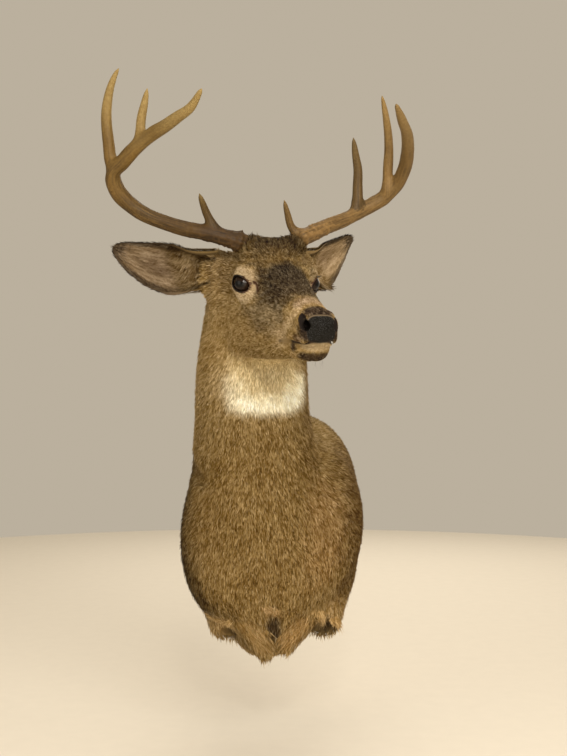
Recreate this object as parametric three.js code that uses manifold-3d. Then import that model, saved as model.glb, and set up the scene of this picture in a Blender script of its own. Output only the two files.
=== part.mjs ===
// A white-tailed deer shoulder mount, life size, made to hang on a wall.
// Millimetres, +Z up, +X to the viewer's right, +Y into the wall. The origin is the middle of the
// back board's rear face, so every piece lies at Y <= 0. The deer looks out along -Y and turns its
// head towards its own left (+X).
import * as THREE from 'three';
import { mergeVertices } from 'three/addons/utils/BufferGeometryUtils.js';
import Module from 'manifold-3d';

const wasm = await Module();
wasm.setup();

// ---------------------------------------------------------------------------------------------
// Driving dimensions
// ---------------------------------------------------------------------------------------------

const GAP = 0.3; // clearance between neighbouring pieces
const SKIN_CLEARANCE = 0.5; // growth of the flesh when a rigid piece is cut to sit on it
const HEAD_CELL = 12.9; // facet size of the head
const BODY_CELL = 27; // facet size of the neck and the trunk
const LEG_CELL = 14; // facet size of the foreleg stubs

// Head frame: origin midway between the eyes; a = towards the deer's left, f = forward, u = up.
const EYE_MIDDLE = [12, -380, 423];
const HEAD_YAW = 21; // degrees, towards the deer's left
const HEAD_PITCH = -14; // degrees, nose down
const HEAD_ROLL = 1.5; // degrees, the deer's left side up

// Head sections along f: f, top u, bottom u, half width at mid height, widening towards the top.
const HEAD_SECTIONS = [
  [-125, -10, -105, 56, 0],
  [-105, 20, -112, 60, -0.06],
  [-80, 42, -113, 62, -0.1],
  [-50, 55, -112, 62, -0.16],
  [-30, 55, -109, 61, -0.2],
  [0, 47, -102, 56, -0.16],
  [30, 34, -95, 49, -0.08],
  [60, 20, -86, 42, 0],
  [100, 7, -74, 34, 0.04],
  [140, -3, -66, 29.5, 0.04],
  [165, -9, -63, 27.5, 0.02],
  [180, -15, -61, 24.5, 0],
  [190, -22, -57, 19.5, 0],
];
const HEAD_BACK = -118;
const NOSE_FRONT = 189;
const HEAD_SQUARENESS = 2.3;
const HEAD_END_BLEND = 12;

// Paired and middle forms of the head, as [a, f, u] and radii, mirrored across a = 0.
const BROW = { at: [46, -3, 18], radii: [16, 27, 11], blend: 20 };
const EYE_RING = { at: [47, -9, -1], radii: [17, 30, 22], blend: 22 };
const ORBIT = { at: [67, 13, -1], radii: [12, 21, 12], blend: 6 };
const TEAR_HOLLOW = { at: [58, 44, -3], radii: [8, 20, 10], blend: 18 };
const CHEEKBONE = { at: [36, 28, -34], radii: [17, 50, 18], blend: 30 };
const JAW_MUSCLE = { at: [36, -30, -60], radii: [23, 44, 38], blend: 24 };
const NOSTRIL_WING = { at: [15, 172, -30], radii: [12, 15, 15], blend: 14 };
const NOSTRIL = { at: [22, 187, -30], radii: [5, 12, 5.5] };
const UPPER_LIP = { at: [19, 150, -50], radii: [12, 34, 11], blend: 12 };
const CHIN = { at: [0, 158, -69], radii: [20, 20, 14], blend: 12 };
const CROWN = { at: [0, -38, 48], radii: [44, 34, 17], blend: 16 };
const JAW_LINE = { from: [11, 150, -72], to: [32, -20, -99], radii: [11, 23], blend: 20 };
const JAW_FLOOR = { from: [0, 136, -72], to: [0, -10, -101], radii: [12, 25], blend: 14 };
const PEDICLE = { from: [26, -35, 40], to: [37, -37, 50], radii: [21, 18], blend: 16 };
const EAR_BUTT = { from: [38, -76, 0], to: [70, -94, 12], radii: [34, 27], blend: 26 };
const EAR_HAIR = { from: [48, -70, -38], to: [86, -90, -18], radii: [28, 14], blend: 22 };

// The line between the lips, from the middle back to the deer's left corner, mirrored.
const MOUTH_LINE = [[0, 191, -53], [15, 188, -53], [23.5, 173, -55], [27, 155, -58],
  [27.3, 135, -61.6], [27.6, 119, -64.3], [28.7, 97, -68.6]];
const MOUTH_RADIUS = 2;
const MOUTH_RINGS = 14;
const MOUTH_SIDES = 5;

const EYE_RADIUS = 16;
const EYE_AT = [53, -2, 0]; // mirrored for the deer's right eye
const EYE_DETAIL = 2; // subdivisions of the ball

// Neck and breast: Z, middle X, half width, reach from the wall at the throat and at the nape.
const NECK_SECTIONS = [
  [-215, -12, 20, 175, 120],
  [-170, -8, 62, 215, 10],
  [-100, -2, 108, 268, -30],
  [0, -6, 134, 318, -34],
  [100, -20, 117, 329, 14],
  [200, -30, 98, 329, 88],
  [300, -31, 91, 334, 134],
  [400, -26, 76, 345, 182],
  [450, -18, 60, 340, 225],
  [475, -12, 46, 325, 250],
];
const NECK_SQUARENESS = 2.3;
const NECK_TOP = 468;
const NECK_BOTTOM = -205;
const NECK_END_BLEND = 30;

const BARREL = { at: [8, 0, 10], radii: [153, 245, 205], squareness: 2.6, blend: 26 };
const SHOULDERS = [
  { at: [84, -178, 34], radii: [74, 100, 120], blend: 34 },
  { at: [-78, -190, -10], radii: [74, 95, 125], blend: 34 },
];
const BRISKET = { at: [-2, -165, -135], radii: [60, 62, 56], blend: 30 };
const BRISKET_LOBES = [
  { from: [-42, -205, -122], to: [-10, -205, -188], radii: [34, 16], blend: 10 },
  { from: [60, -200, -118], to: [27, -200, -178], radii: [32, 16], blend: 10 },
];
// Hollows where the neck meets the right shoulder and between the lobes of the brisket.
const NECK_FOLD = { from: [-143, -215, 134], to: [-112, -290, 108], radii: [16, 5], blend: 14 };
const BRISKET_NOTCH = { from: [0, -272, -108], to: [12, -238, -192], radii: [9, 7], blend: 12 };
const HEAD_BLEND = 34;

// Foreleg stubs, cut short with a hollow end.
const STUB_BLEND = 18;
const STUB_ROOT_DEPTH = 14; // how far under the breast's surface a stub's root spreads
const STUBS = {
  foreleg_right: {
    from: [-96, -140, -70], to: [-80, -158, -147], radii: [42, 30],
    hollow: { at: [-74, -192, -160], radii: [18, 32, 18], blend: 5 },
  },
  foreleg_left: {
    from: [100, -135, -70], to: [92, -158, -142], radii: [43, 32],
    hollow: { at: [88, -190, -157], radii: [22, 32, 20], blend: 5 },
  },
};

// Planes that part the flesh, each through [x, y, z] with its outward normal.
const HEAD_PLANE = { at: [0, -338, 318], normal: [0, -132, 103] };
const TRUNK_PLANE = { at: [0, -330, 112], normal: [0, -95, 270] };

// Ears: base, bow and tip of the middle line in the head frame.
const EAR_BASE = [62, -88, 14];
const EARS = {
  ear_right: { side: -1, bow: [142, -108, -15], tip: [222, -160, 30], face: [0.3, 0.95, 0.02] },
  ear_left: { side: 1, bow: [136, -122, -12], tip: [205, -176, 50], face: [0.8, 0.58, 0.1] },
};
const EAR_ROWS = 10;
const EAR_COLUMNS = 6;
const EAR_STEP = 0.01; // along the middle line, to find its direction
const CUP_DEPTH = 2 / 3; // of the cup's radius, from its middle line to its centre
// Along the ear: fraction, half width along the curved face, half angle of the cup in degrees
// and thickness, which is greatest over the gristle at the root.
const EAR_PROFILE = [
  [0, 27, 98, 14],
  [0.15, 33, 92, 13],
  [0.3, 39, 76, 8],
  [0.45, 45, 60, 6],
  [0.6, 42, 50, 5],
  [0.75, 33, 42, 4.5],
  [0.88, 22, 34, 4],
  [0.96, 13, 26, 3.5],
  [1, 5, 20, 3],
];

// Back board inside the open back of the form.
const BOARD_HALF_WIDTH = 138;
const BOARD_TOP = 188;
const BOARD_BOTTOM = -150;
const BOARD_THICKNESS = 18;
const BOARD_SQUARENESS = 2.6;
const BOARD_STEPS = 32;
const CAPE_BACK = -1; // the hide stops this far short of the wall

const HIDE = { color: 0x82633a, roughness: 0.9, metalness: 0 };
const FACE = { color: 0x7a6039, roughness: 0.9, metalness: 0 };
const EAR = { color: 0x7e6646, roughness: 0.85, metalness: 0 };
const GLASS = { color: 0x0d0806, roughness: 0.08, metalness: 0 };
const ANTLER = { color: 0x8d7048, roughness: 0.6, metalness: 0 };
const PLYWOOD = { color: 0xb58a55, roughness: 0.8, metalness: 0 };

// ---------------------------------------------------------------------------------------------
// Vectors and tables
// ---------------------------------------------------------------------------------------------

const subtract = (p, q) => [p[0] - q[0], p[1] - q[1], p[2] - q[2]];
const dot = (p, q) => p[0] * q[0] + p[1] * q[1] + p[2] * q[2];
const along = (p, q, t) => [p[0] + q[0] * t, p[1] + q[1] * t, p[2] + q[2] * t];
const cross = (p, q) => [
  p[1] * q[2] - p[2] * q[1],
  p[2] * q[0] - p[0] * q[2],
  p[0] * q[1] - p[1] * q[0],
];
const unit = (p) => along([0, 0, 0], p, 1 / Math.hypot(...p));
const clamp = (x, low, high) => Math.min(Math.max(x, low), high);
const radians = THREE.MathUtils.degToRad;

function headAxes() {
  const yaw = radians(HEAD_YAW);
  const pitch = radians(HEAD_PITCH);
  const roll = radians(HEAD_ROLL);
  const forward = [
    Math.sin(yaw) * Math.cos(pitch),
    -Math.cos(yaw) * Math.cos(pitch),
    Math.sin(pitch),
  ];
  const level = [Math.cos(yaw), Math.sin(yaw), 0];
  const upright = cross(forward, level);
  const left = along(along([0, 0, 0], level, Math.cos(roll)), upright, Math.sin(roll));
  const up = along(along([0, 0, 0], level, -Math.sin(roll)), upright, Math.cos(roll));
  return [left, forward, up];
}

const HEAD_AXES = headAxes();

function toHead(p) {
  const offset = subtract(p, EYE_MIDDLE);
  return HEAD_AXES.map((axis) => dot(offset, axis));
}

function fromHead(q) {
  return HEAD_AXES.reduce((p, axis, i) => along(p, axis, q[i]), EYE_MIDDLE);
}

// Smooth interpolation of a table whose first column rises; column is the one to read.
function tableValue(table, x, column) {
  const last = table.length - 1;
  if (x <= table[0][0]) return table[0][column];
  if (x >= table[last][0]) return table[last][column];
  let i = 0;
  while (table[i + 1][0] < x) i += 1;
  const slope = (j, k) => (table[k][column] - table[j][column]) / (table[k][0] - table[j][0]);
  const width = table[i + 1][0] - table[i][0];
  const t = (x - table[i][0]) / width;
  const m0 = slope(Math.max(i - 1, 0), i + 1) * width;
  const m1 = slope(i, Math.min(i + 2, last)) * width;
  const rise = table[i + 1][column] - table[i][column];
  return table[i][column] + m0 * t + (3 * rise - 2 * m0 - m1) * t * t
    + (m0 + m1 - 2 * rise) * t * t * t;
}

// ---------------------------------------------------------------------------------------------
// Distance fields, negative inside
// ---------------------------------------------------------------------------------------------

function smoothMin(a, b, blend) {
  const h = Math.max(blend - Math.abs(a - b), 0) / blend;
  return Math.min(a, b) - h * h * blend / 4;
}

const smoothMax = (a, b, blend) => -smoothMin(-a, -b, blend);

function ellipsoid(p, form) {
  const q = subtract(p, form.at).map((value, i) => value / form.radii[i]);
  const k0 = Math.hypot(...q);
  const k1 = Math.hypot(...q.map((value, i) => value / form.radii[i]));
  return k1 > 0 ? k0 * (k0 - 1) / k1 : -Math.min(...form.radii);
}

function roundCone(p, form) {
  const axis = subtract(form.to, form.from);
  const t = clamp(dot(subtract(p, form.from), axis) / dot(axis, axis), 0, 1);
  const radius = form.radii[0] + (form.radii[1] - form.radii[0]) * t;
  return Math.hypot(...subtract(p, along(form.from, axis, t))) - radius;
}

const MIDDLE_SHARE = 0.05; // this near the middle the distance inwards is taken as the half size

// Distance to a rounded-square section of half sizes rx and ry, measured towards its middle.
function section(x, y, rx, ry, squareness) {
  const q = (Math.abs(x / rx) ** squareness + Math.abs(y / ry) ** squareness) ** (1 / squareness);
  return q > MIDDLE_SHARE ? Math.hypot(x, y) * (1 - 1 / q) : -Math.min(rx, ry);
}

function headLoft(a, f, u) {
  const top = tableValue(HEAD_SECTIONS, f, 1);
  const bottom = tableValue(HEAD_SECTIONS, f, 2);
  const height = (top - bottom) / 2;
  const v = u - (top + bottom) / 2;
  const widening = 1 + tableValue(HEAD_SECTIONS, f, 4) * clamp(v / height, -1, 1);
  const width = tableValue(HEAD_SECTIONS, f, 3) * widening;
  const side = section(a, v, width, height, HEAD_SQUARENESS);
  return smoothMax(side, Math.max(f - NOSE_FRONT, HEAD_BACK - f), HEAD_END_BLEND);
}

function headField(p) {
  const [a, f, u] = toHead(p);
  const q = [Math.abs(a), f, u];
  let d = headLoft(q[0], f, u);
  for (const form of [BROW, EYE_RING, CHEEKBONE, JAW_MUSCLE, NOSTRIL_WING, UPPER_LIP, CHIN, CROWN]) {
    d = smoothMin(d, ellipsoid(q, form), form.blend);
  }
  for (const form of [JAW_LINE, JAW_FLOOR, PEDICLE, EAR_BUTT, EAR_HAIR]) {
    d = smoothMin(d, roundCone(q, form), form.blend);
  }
  for (const form of [ORBIT, TEAR_HOLLOW]) {
    d = smoothMax(d, -ellipsoid(q, form), form.blend);
  }
  return d;
}

function neckField([x, y, z]) {
  const front = tableValue(NECK_SECTIONS, z, 3);
  const back = tableValue(NECK_SECTIONS, z, 4);
  const side = section(
    x - tableValue(NECK_SECTIONS, z, 1),
    y + (front + back) / 2,
    tableValue(NECK_SECTIONS, z, 2),
    (front - back) / 2,
    NECK_SQUARENESS,
  );
  return smoothMax(side, Math.max(z - NECK_TOP, NECK_BOTTOM - z), NECK_END_BLEND);
}

function barrelField(p) {
  const q = subtract(p, BARREL.at);
  const n = BARREL.squareness;
  const sum = q.reduce((total, value, i) => total + Math.abs(value / BARREL.radii[i]) ** n, 0);
  const k = sum ** (1 / n);
  return k > MIDDLE_SHARE ? Math.hypot(...q) * (1 - 1 / k) : -BARREL.radii[0];
}

function bodyField(p) {
  let d = smoothMin(neckField(p), barrelField(p), BARREL.blend);
  for (const form of [...SHOULDERS, BRISKET]) {
    d = smoothMin(d, ellipsoid(p, form), form.blend);
  }
  for (const form of BRISKET_LOBES) d = smoothMin(d, roundCone(p, form), form.blend);
  for (const form of [NECK_FOLD, BRISKET_NOTCH]) {
    d = smoothMax(d, -roundCone(p, form), form.blend);
  }
  return d;
}

const fleshField = (p) => smoothMin(headField(p), bodyField(p), HEAD_BLEND);

function stubField(p, stub) {
  const d = smoothMin(roundCone(p, stub), bodyField(p) + STUB_ROOT_DEPTH, STUB_BLEND);
  return smoothMax(d, -ellipsoid(p, stub.hollow), stub.hollow.blend);
}

// ---------------------------------------------------------------------------------------------
// Meshing a field: one vertex per crossed cell, slid onto the surface
// ---------------------------------------------------------------------------------------------

const CORNERS = [0, 1, 2, 3, 4, 5, 6, 7].map((c) => [c & 1, (c >> 1) & 1, c >> 2]);
const EDGES = [
  [0, 1], [2, 3], [4, 5], [6, 7], [0, 2], [1, 3], [4, 6], [5, 7], [0, 4], [1, 5], [2, 6], [3, 7],
];

const SLOPE_STEP = 0.05;
const SLIDE_ROUNDS = 4;
const FLAT_SLOPE = 1e-6; // squared slope under which a point stays where it is
const VERTEX_REACH = 0.7; // how far a vertex may slide, as a share of its cell

function slopeAt(field, p) {
  const d = field(p);
  return [0, 1, 2].map((i) => {
    const q = [...p];
    q[i] += SLOPE_STEP;
    return (field(q) - d) / SLOPE_STEP;
  });
}

function slideOnto(field, point, reach) {
  let p = point;
  for (let round = 0; round < SLIDE_ROUNDS; round += 1) {
    const d = field(p);
    const slope = slopeAt(field, p);
    const size = dot(slope, slope);
    if (size < FLAT_SLOPE) break;
    p = along(p, slope, -d / size);
  }
  const moved = subtract(p, point);
  const distance = Math.hypot(...moved);
  return distance > reach ? along(point, moved, reach / distance) : p;
}

function sampleField(field, box, cell) {
  const size = [0, 1, 2].map((i) => Math.ceil((box.max[i] - box.min[i]) / cell) + 1);
  const corner = (i, j, k) => [
    box.min[0] + i * cell, box.min[1] + j * cell, box.min[2] + k * cell,
  ];
  const values = new Float64Array(size[0] * size[1] * size[2]);
  let n = 0;
  for (let k = 0; k < size[2]; k += 1) {
    for (let j = 0; j < size[1]; j += 1) {
      for (let i = 0; i < size[0]; i += 1) {
        values[n] = field(corner(i, j, k));
        n += 1;
      }
    }
  }
  return { size, corner, values, index: (i, j, k) => i + size[0] * (j + size[1] * k) };
}

// Mean of the points where the field crosses zero on a cell's edges, or null if it doesn't.
function crossingMean(grid, i, j, k) {
  const sum = [0, 0, 0];
  let count = 0;
  for (const [a, b] of EDGES) {
    const [ca, cb] = [CORNERS[a], CORNERS[b]];
    const va = grid.values[grid.index(i + ca[0], j + ca[1], k + ca[2])];
    const vb = grid.values[grid.index(i + cb[0], j + cb[1], k + cb[2])];
    if (va < 0 === vb < 0) continue;
    const t = va / (va - vb);
    for (let axis = 0; axis < 3; axis += 1) sum[axis] += ca[axis] + (cb[axis] - ca[axis]) * t;
    count += 1;
  }
  return count > 0 ? sum.map((value) => value / count) : null;
}

function gridVertices(grid, field, cell) {
  const positions = [];
  const ids = new Map();
  for (let k = 0; k < grid.size[2] - 1; k += 1) {
    for (let j = 0; j < grid.size[1] - 1; j += 1) {
      for (let i = 0; i < grid.size[0] - 1; i += 1) {
        const mean = crossingMean(grid, i, j, k);
        if (mean === null) continue;
        const start = along(grid.corner(i, j, k), mean, cell);
        ids.set(grid.index(i, j, k), positions.length);
        positions.push(slideOnto(field, start, cell * VERTEX_REACH));
      }
    }
  }
  return { positions, ids };
}

function pushQuad(triangles, positions, [a, b, c, d]) {
  const spread = (p, q) => Math.hypot(...subtract(positions[p], positions[q]));
  if (spread(a, c) < spread(b, d)) triangles.push([a, b, c], [a, c, d]);
  else triangles.push([a, b, d], [b, c, d]);
}

// Closed triangle mesh of the field's zero surface inside the box.
function meshField(shape, box, cell) {
  const middle = box.min.map((low, i) => (low + box.max[i]) / 2);
  const half = box.min.map((low, i) => (box.max[i] - low) / 2 - cell);
  const inBox = (p) => Math.max(...p.map((value, i) => Math.abs(value - middle[i]) - half[i]));
  const field = (p) => Math.max(shape(p), inBox(p));
  const grid = sampleField(field, box, cell);
  const { positions, ids } = gridVertices(grid, field, cell);
  const triangles = [];
  for (let k = 1; k < grid.size[2] - 1; k += 1) {
    for (let j = 1; j < grid.size[1] - 1; j += 1) {
      for (let i = 1; i < grid.size[0] - 1; i += 1) {
        const here = [i, j, k];
        const inside = grid.values[grid.index(i, j, k)] < 0;
        for (let axis = 0; axis < 3; axis += 1) {
          const next = here.map((value, n) => value + (n === axis ? 1 : 0));
          if (grid.values[grid.index(...next)] < 0 === inside) continue;
          const [e1, e2] = [(axis + 1) % 3, (axis + 2) % 3];
          const ring = [[0, 0], [1, 0], [1, 1], [0, 1]].map(([s, t]) => {
            const at = [...here];
            at[e1] -= s;
            at[e2] -= t;
            return ids.get(grid.index(...at));
          });
          pushQuad(triangles, positions, inside ? ring : ring.reverse());
        }
      }
    }
  }
  return { positions, triangles };
}

// ---------------------------------------------------------------------------------------------
// Solids
// ---------------------------------------------------------------------------------------------

function solid({ positions, triangles }) {
  return new wasm.Manifold(new wasm.Mesh({
    numProp: 3,
    vertProperties: new Float32Array(positions.flat()),
    triVerts: new Uint32Array(triangles.flat()),
  }));
}

const WELD = 1e-4; // vertices closer than this are one

function solidOf(geometry) {
  const bare = new THREE.BufferGeometry();
  bare.setAttribute('position', geometry.attributes.position);
  if (geometry.index) bare.setIndex(geometry.index);
  const merged = mergeVertices(bare, WELD);
  return new wasm.Manifold(new wasm.Mesh({
    numProp: 3,
    vertProperties: new Float32Array(merged.attributes.position.array),
    triVerts: new Uint32Array(merged.index.array),
  }));
}

// The biggest body of a solid, so that slivers left by a cut fall away.
function mainBody(piece) {
  return piece.decompose().sort((a, b) => b.volume() - a.volume())[0];
}

const group = new THREE.Group();

function addPiece(name, piece, look) {
  const mesh = mainBody(piece).getMesh();
  const geometry = new THREE.BufferGeometry();
  geometry.setAttribute('position', new THREE.BufferAttribute(mesh.vertProperties, 3));
  geometry.setIndex(new THREE.BufferAttribute(mesh.triVerts, 1));
  geometry.computeVertexNormals();
  const object = new THREE.Mesh(geometry, new THREE.MeshStandardMaterial(look));
  object.name = name;
  group.add(object);
}

const SLAB = 2000; // larger than the whole mount

// Everything on the side of the plane that its normal points to, from the given offset on.
function halfSpace(plane, offset) {
  const normal = unit(plane.normal);
  const block = new THREE.BoxGeometry(SLAB, SLAB, SLAB).translate(0, 0, SLAB / 2);
  const turn = new THREE.Quaternion().setFromUnitVectors(
    new THREE.Vector3(0, 0, 1),
    new THREE.Vector3(...normal),
  );
  block.applyQuaternion(turn);
  block.translate(...along(plane.at, normal, offset));
  return solidOf(block);
}

// ---------------------------------------------------------------------------------------------
// Back board
// ---------------------------------------------------------------------------------------------

function boardSolid(growth) {
  const middle = (BOARD_TOP + BOARD_BOTTOM) / 2;
  const tall = (BOARD_TOP - BOARD_BOTTOM) / 2 + growth;
  const wide = BOARD_HALF_WIDTH + growth;
  const outline = new THREE.Shape();
  for (let i = 0; i < BOARD_STEPS; i += 1) {
    const angle = (2 * Math.PI * i) / BOARD_STEPS;
    const [c, s] = [Math.cos(angle), Math.sin(angle)];
    const n = BOARD_SQUARENESS;
    const reach = (Math.abs(c) ** n + Math.abs(s) ** n) ** (-1 / n);
    const x = BARREL.at[0] + wide * c * reach;
    const z = middle + tall * s * reach;
    if (i === 0) outline.moveTo(x, z);
    else outline.lineTo(x, z);
  }
  outline.closePath();
  const depth = BOARD_THICKNESS + growth;
  const geometry = new THREE.ExtrudeGeometry(outline, { depth, bevelEnabled: false });
  return solidOf(geometry.rotateX(Math.PI / 2));
}

// ---------------------------------------------------------------------------------------------
// Flesh
// ---------------------------------------------------------------------------------------------

const HEAD_BOX = { min: [-110, -590, 270], max: [130, -190, 520] };
const BODY_BOX = { min: [-190, -400, -250], max: [190, 40, 500] };
const STUB_BOXES = {
  foreleg_right: { min: [-160, -250, -210], max: [-20, -60, -40] },
  foreleg_left: { min: [20, -250, -210], max: [160, -60, -40] },
};

// The same facets moved outwards, so that pieces cut by it clear the original everywhere.
function swollen({ positions, triangles }, field) {
  const moved = positions.map((p) => along(p, unit(slopeAt(field, p)), SKIN_CLEARANCE));
  return { positions: moved, triangles };
}

const headFacets = meshField(fleshField, HEAD_BOX, HEAD_CELL);
const bodyFacets = meshField(fleshField, BODY_BOX, BODY_CELL);
const headMesh = solid(headFacets);
const headSeat = solid(swollen(headFacets, fleshField));
const bodyMesh = solid(bodyFacets);
const bodySeat = solid(swollen(bodyFacets, fleshField));

function eyeBall(side, growth) {
  const ball = new THREE.IcosahedronGeometry(EYE_RADIUS + growth, EYE_DETAIL);
  ball.translate(...fromHead([side * EYE_AT[0], EYE_AT[1], EYE_AT[2]]));
  return solidOf(ball);
}

function nostril(side) {
  const hole = new THREE.IcosahedronGeometry(1, 1).scale(...NOSTRIL.radii);
  const axes = HEAD_AXES.map((axis) => new THREE.Vector3(...axis));
  hole.applyMatrix4(new THREE.Matrix4().makeBasis(...axes));
  hole.translate(...fromHead([side * NOSTRIL.at[0], NOSTRIL.at[1], NOSTRIL.at[2]]));
  return solidOf(hole);
}

// A fine groove sunk along the line between the lips.
function mouthGroove() {
  const half = MOUTH_LINE.map((q) => slideOnto(fleshField, fromHead(q), HEAD_CELL));
  const mirrored = MOUTH_LINE.map(([a, f, u]) => fromHead([-a, f, u]));
  const other = mirrored.slice(1).reverse().map((p) => slideOnto(fleshField, p, HEAD_CELL));
  const line = [...other, ...half].map((p) => new THREE.Vector3(...p));
  const curve = new THREE.CatmullRomCurve3(line, false, 'centripetal');
  return sweepSolid(curve, () => MOUTH_RADIUS, [0, 1], MOUTH_RINGS, MOUTH_SIDES);
}

function addFlesh() {
  const eyes = { eye_right: -1, eye_left: 1 };
  let head = headMesh.intersect(halfSpace(HEAD_PLANE, GAP / 2)).subtract(mouthGroove());
  head = head.subtract(nostril(-1)).subtract(nostril(1));
  for (const [name, side] of Object.entries(eyes)) {
    head = head.subtract(eyeBall(side, GAP));
    addPiece(name, eyeBall(side, 0), GLASS);
  }
  addPiece('head', head, FACE);

  const belowHead = { at: HEAD_PLANE.at, normal: HEAD_PLANE.normal.map((value) => -value) };
  const belowNeck = { at: TRUNK_PLANE.at, normal: TRUNK_PLANE.normal.map((value) => -value) };
  const body = bodyMesh.intersect(halfSpace(belowHead, GAP / 2));
  addPiece('neck', body.intersect(halfSpace(TRUNK_PLANE, GAP / 2)), HIDE);

  const offWall = { at: [0, CAPE_BACK, 0], normal: [0, -1, 0] };
  const trunk = body
    .intersect(halfSpace(belowNeck, GAP / 2))
    .intersect(halfSpace(offWall, 0))
    .subtract(boardSolid(GAP));
  addPiece('trunk', trunk, HIDE);
  return trunk;
}

function addStubs() {
  for (const [name, stub] of Object.entries(STUBS)) {
    const field = (p) => stubField(p, stub);
    const shape = solid(meshField(field, STUB_BOXES[name], LEG_CELL));
    addPiece(name, shape.subtract(bodySeat), HIDE);
  }
}

// ---------------------------------------------------------------------------------------------
// Ears
// ---------------------------------------------------------------------------------------------

function bezier(p0, p1, p2, t) {
  return p0.map((value, i) => value * (1 - t) ** 2 + 2 * p1[i] * t * (1 - t) + p2[i] * t * t);
}

// Point of the ear's leaf at s along it and t across it, lifted back by the given amount.
function earPoint(ear, line, s, t, lift) {
  const middle = bezier(...line, s);
  const tangent = unit(subtract(bezier(...line, s + EAR_STEP), bezier(...line, s - EAR_STEP)));
  const raw = [ear.side * ear.face[0], ear.face[1], ear.face[2]];
  const face = unit(along(raw, tangent, -dot(raw, tangent)));
  const across = cross(tangent, face);
  const halfAngle = radians(tableValue(EAR_PROFILE, s, 2));
  const radius = tableValue(EAR_PROFILE, s, 1) / halfAngle;
  const angle = halfAngle * t;
  const reach = radius + lift;
  const point = along(middle, across, reach * Math.sin(angle));
  return along(point, face, radius * CUP_DEPTH - reach * Math.cos(angle));
}

function earSolid(ear) {
  const line = [EAR_BASE, ear.bow, ear.tip].map((p) => [p[0] * ear.side, p[1], p[2]]);
  const positions = [];
  const rowLength = 2 * (EAR_COLUMNS + 1);
  for (let i = 0; i <= EAR_ROWS; i += 1) {
    const s = i / EAR_ROWS;
    const thickness = tableValue(EAR_PROFILE, s, 3);
    for (let j = 0; j <= EAR_COLUMNS; j += 1) {
      positions.push(fromHead(earPoint(ear, line, s, (2 * j) / EAR_COLUMNS - 1, 0)));
    }
    for (let j = EAR_COLUMNS; j >= 0; j -= 1) {
      positions.push(fromHead(earPoint(ear, line, s, (2 * j) / EAR_COLUMNS - 1, thickness)));
    }
  }
  return ringSolid(positions, EAR_ROWS + 1, rowLength);
}

// Closed solid from rings of equal length, each ring capped by strips between its two halves.
function ringSolid(positions, rings, length) {
  const triangles = [];
  for (let i = 0; i < rings - 1; i += 1) {
    for (let j = 0; j < length; j += 1) {
      const a = i * length + j;
      const b = i * length + ((j + 1) % length);
      pushQuad(triangles, positions, [a, b, b + length, a + length]);
    }
  }
  for (const [start, flip] of [[0, false], [(rings - 1) * length, true]]) {
    for (let j = 0; j < length / 2 - 1; j += 1) {
      const quad = [start + j, start + length - 1 - j, start + length - 2 - j, start + j + 1];
      pushQuad(triangles, positions, flip ? quad.reverse() : quad);
    }
  }
  const piece = solid({ positions, triangles });
  return piece.volume() > 0 ? piece : solid({ positions, triangles: triangles.map(turned) });
}

const turned = ([a, b, c]) => [a, c, b];

function addEars() {
  for (const [name, ear] of Object.entries(EARS)) {
    addPiece(name, earSolid(ear).subtract(headSeat), EAR);
  }
}

// ---------------------------------------------------------------------------------------------
// Antlers: middle lines in the head frame, radii along them
// ---------------------------------------------------------------------------------------------

const ANTLER_SIDES = 9;
const TINE_SIDES = 7;
const BURR_RADIUS = 19;
const BURR_AT = 0.022; // along the beam
const BURR_SPREAD = 0.012;
const BEAM_BASE_RINGS = 18; // enough to show the burr
const BEAM_RINGS = 6;
const SEAT_RINGS = 30; // of the whole beam that tines are cut to sit on
const TINE_RINGS = 8;
const FRAME_STEPS = 60; // along a swept curve

const BEAM_RADII = [[0, 14], [0.12, 12.5], [0.3, 11.2], [0.45, 12.4], [0.6, 11], [0.78, 9.4],
  [0.92, 6.6], [1, 2.6]];
const TINE_RADII = [[0, 10.5], [0.25, 9], [0.6, 7.4], [0.85, 5], [1, 2]];

const ANTLERS = {
  right: {
    beam: [
      [-44, -36, 56], [-67, -40, 62], [-98, -49, 69], [-130, -62, 73], [-159, -75, 80],
      [-190, -86, 91], [-216, -91, 108], [-235, -91, 129], [-241, -85, 153], [-229, -73, 170],
      [-213, -56, 194], [-196, -33, 213], [-184, -7, 226], [-172, 16, 240], [-160, 38, 254],
      [-152, 63, 280],
    ],
    forks: [0.52, 0.66],
    tines: {
      brow_tine: { line: [[-83, -44, 64], [-91, -47, 76], [-102, -52, 98], [-111, -49, 116],
        [-118, -43, 129]], girth: 0.8 },
      second_tine: { line: [[-238, -87, 147], [-244, -89, 169], [-248, -93, 199],
        [-251, -97, 236], [-248, -93, 269], [-243, -86, 290], [-238, -79, 303]], girth: 1 },
      third_tine: { line: [[-216, -58, 188], [-210, -52, 204], [-208, -54, 232],
        [-205, -50, 255], [-203, -43, 277]], girth: 0.85 },
    },
  },
  left: {
    beam: [
      [43, -39, 59], [51, -42, 65], [74, -53, 72], [100, -64, 81], [141, -79, 93],
      [180, -91, 110], [212, -88, 130], [227, -75, 154], [228, -54, 181], [217, -27, 210],
      [200, 0, 234], [178, 24, 254], [153, 48, 278],
    ],
    forks: [0.38, 0.53],
    tines: {
      brow_tine: { line: [[55, -44, 63], [45, -45, 71], [35, -46, 82], [25, -43, 106],
        [17, -37, 124]], girth: 0.72 },
      second_tine: { line: [[167, -86, 100], [166, -88, 114], [166, -95, 143], [165, -97, 172],
        [158, -95, 196], [149, -89, 223]], girth: 0.95 },
      third_tine: { line: [[216, -82, 129], [214, -80, 145], [212, -82, 175], [211, -83, 207],
        [205, -79, 235], [194, -70, 262], [180, -60, 291]], girth: 0.9 },
    },
  },
};

function curveOf(points) {
  const line = points.map((q) => new THREE.Vector3(...fromHead(q)));
  return new THREE.CatmullRomCurve3(line, false, 'centripetal');
}

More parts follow.
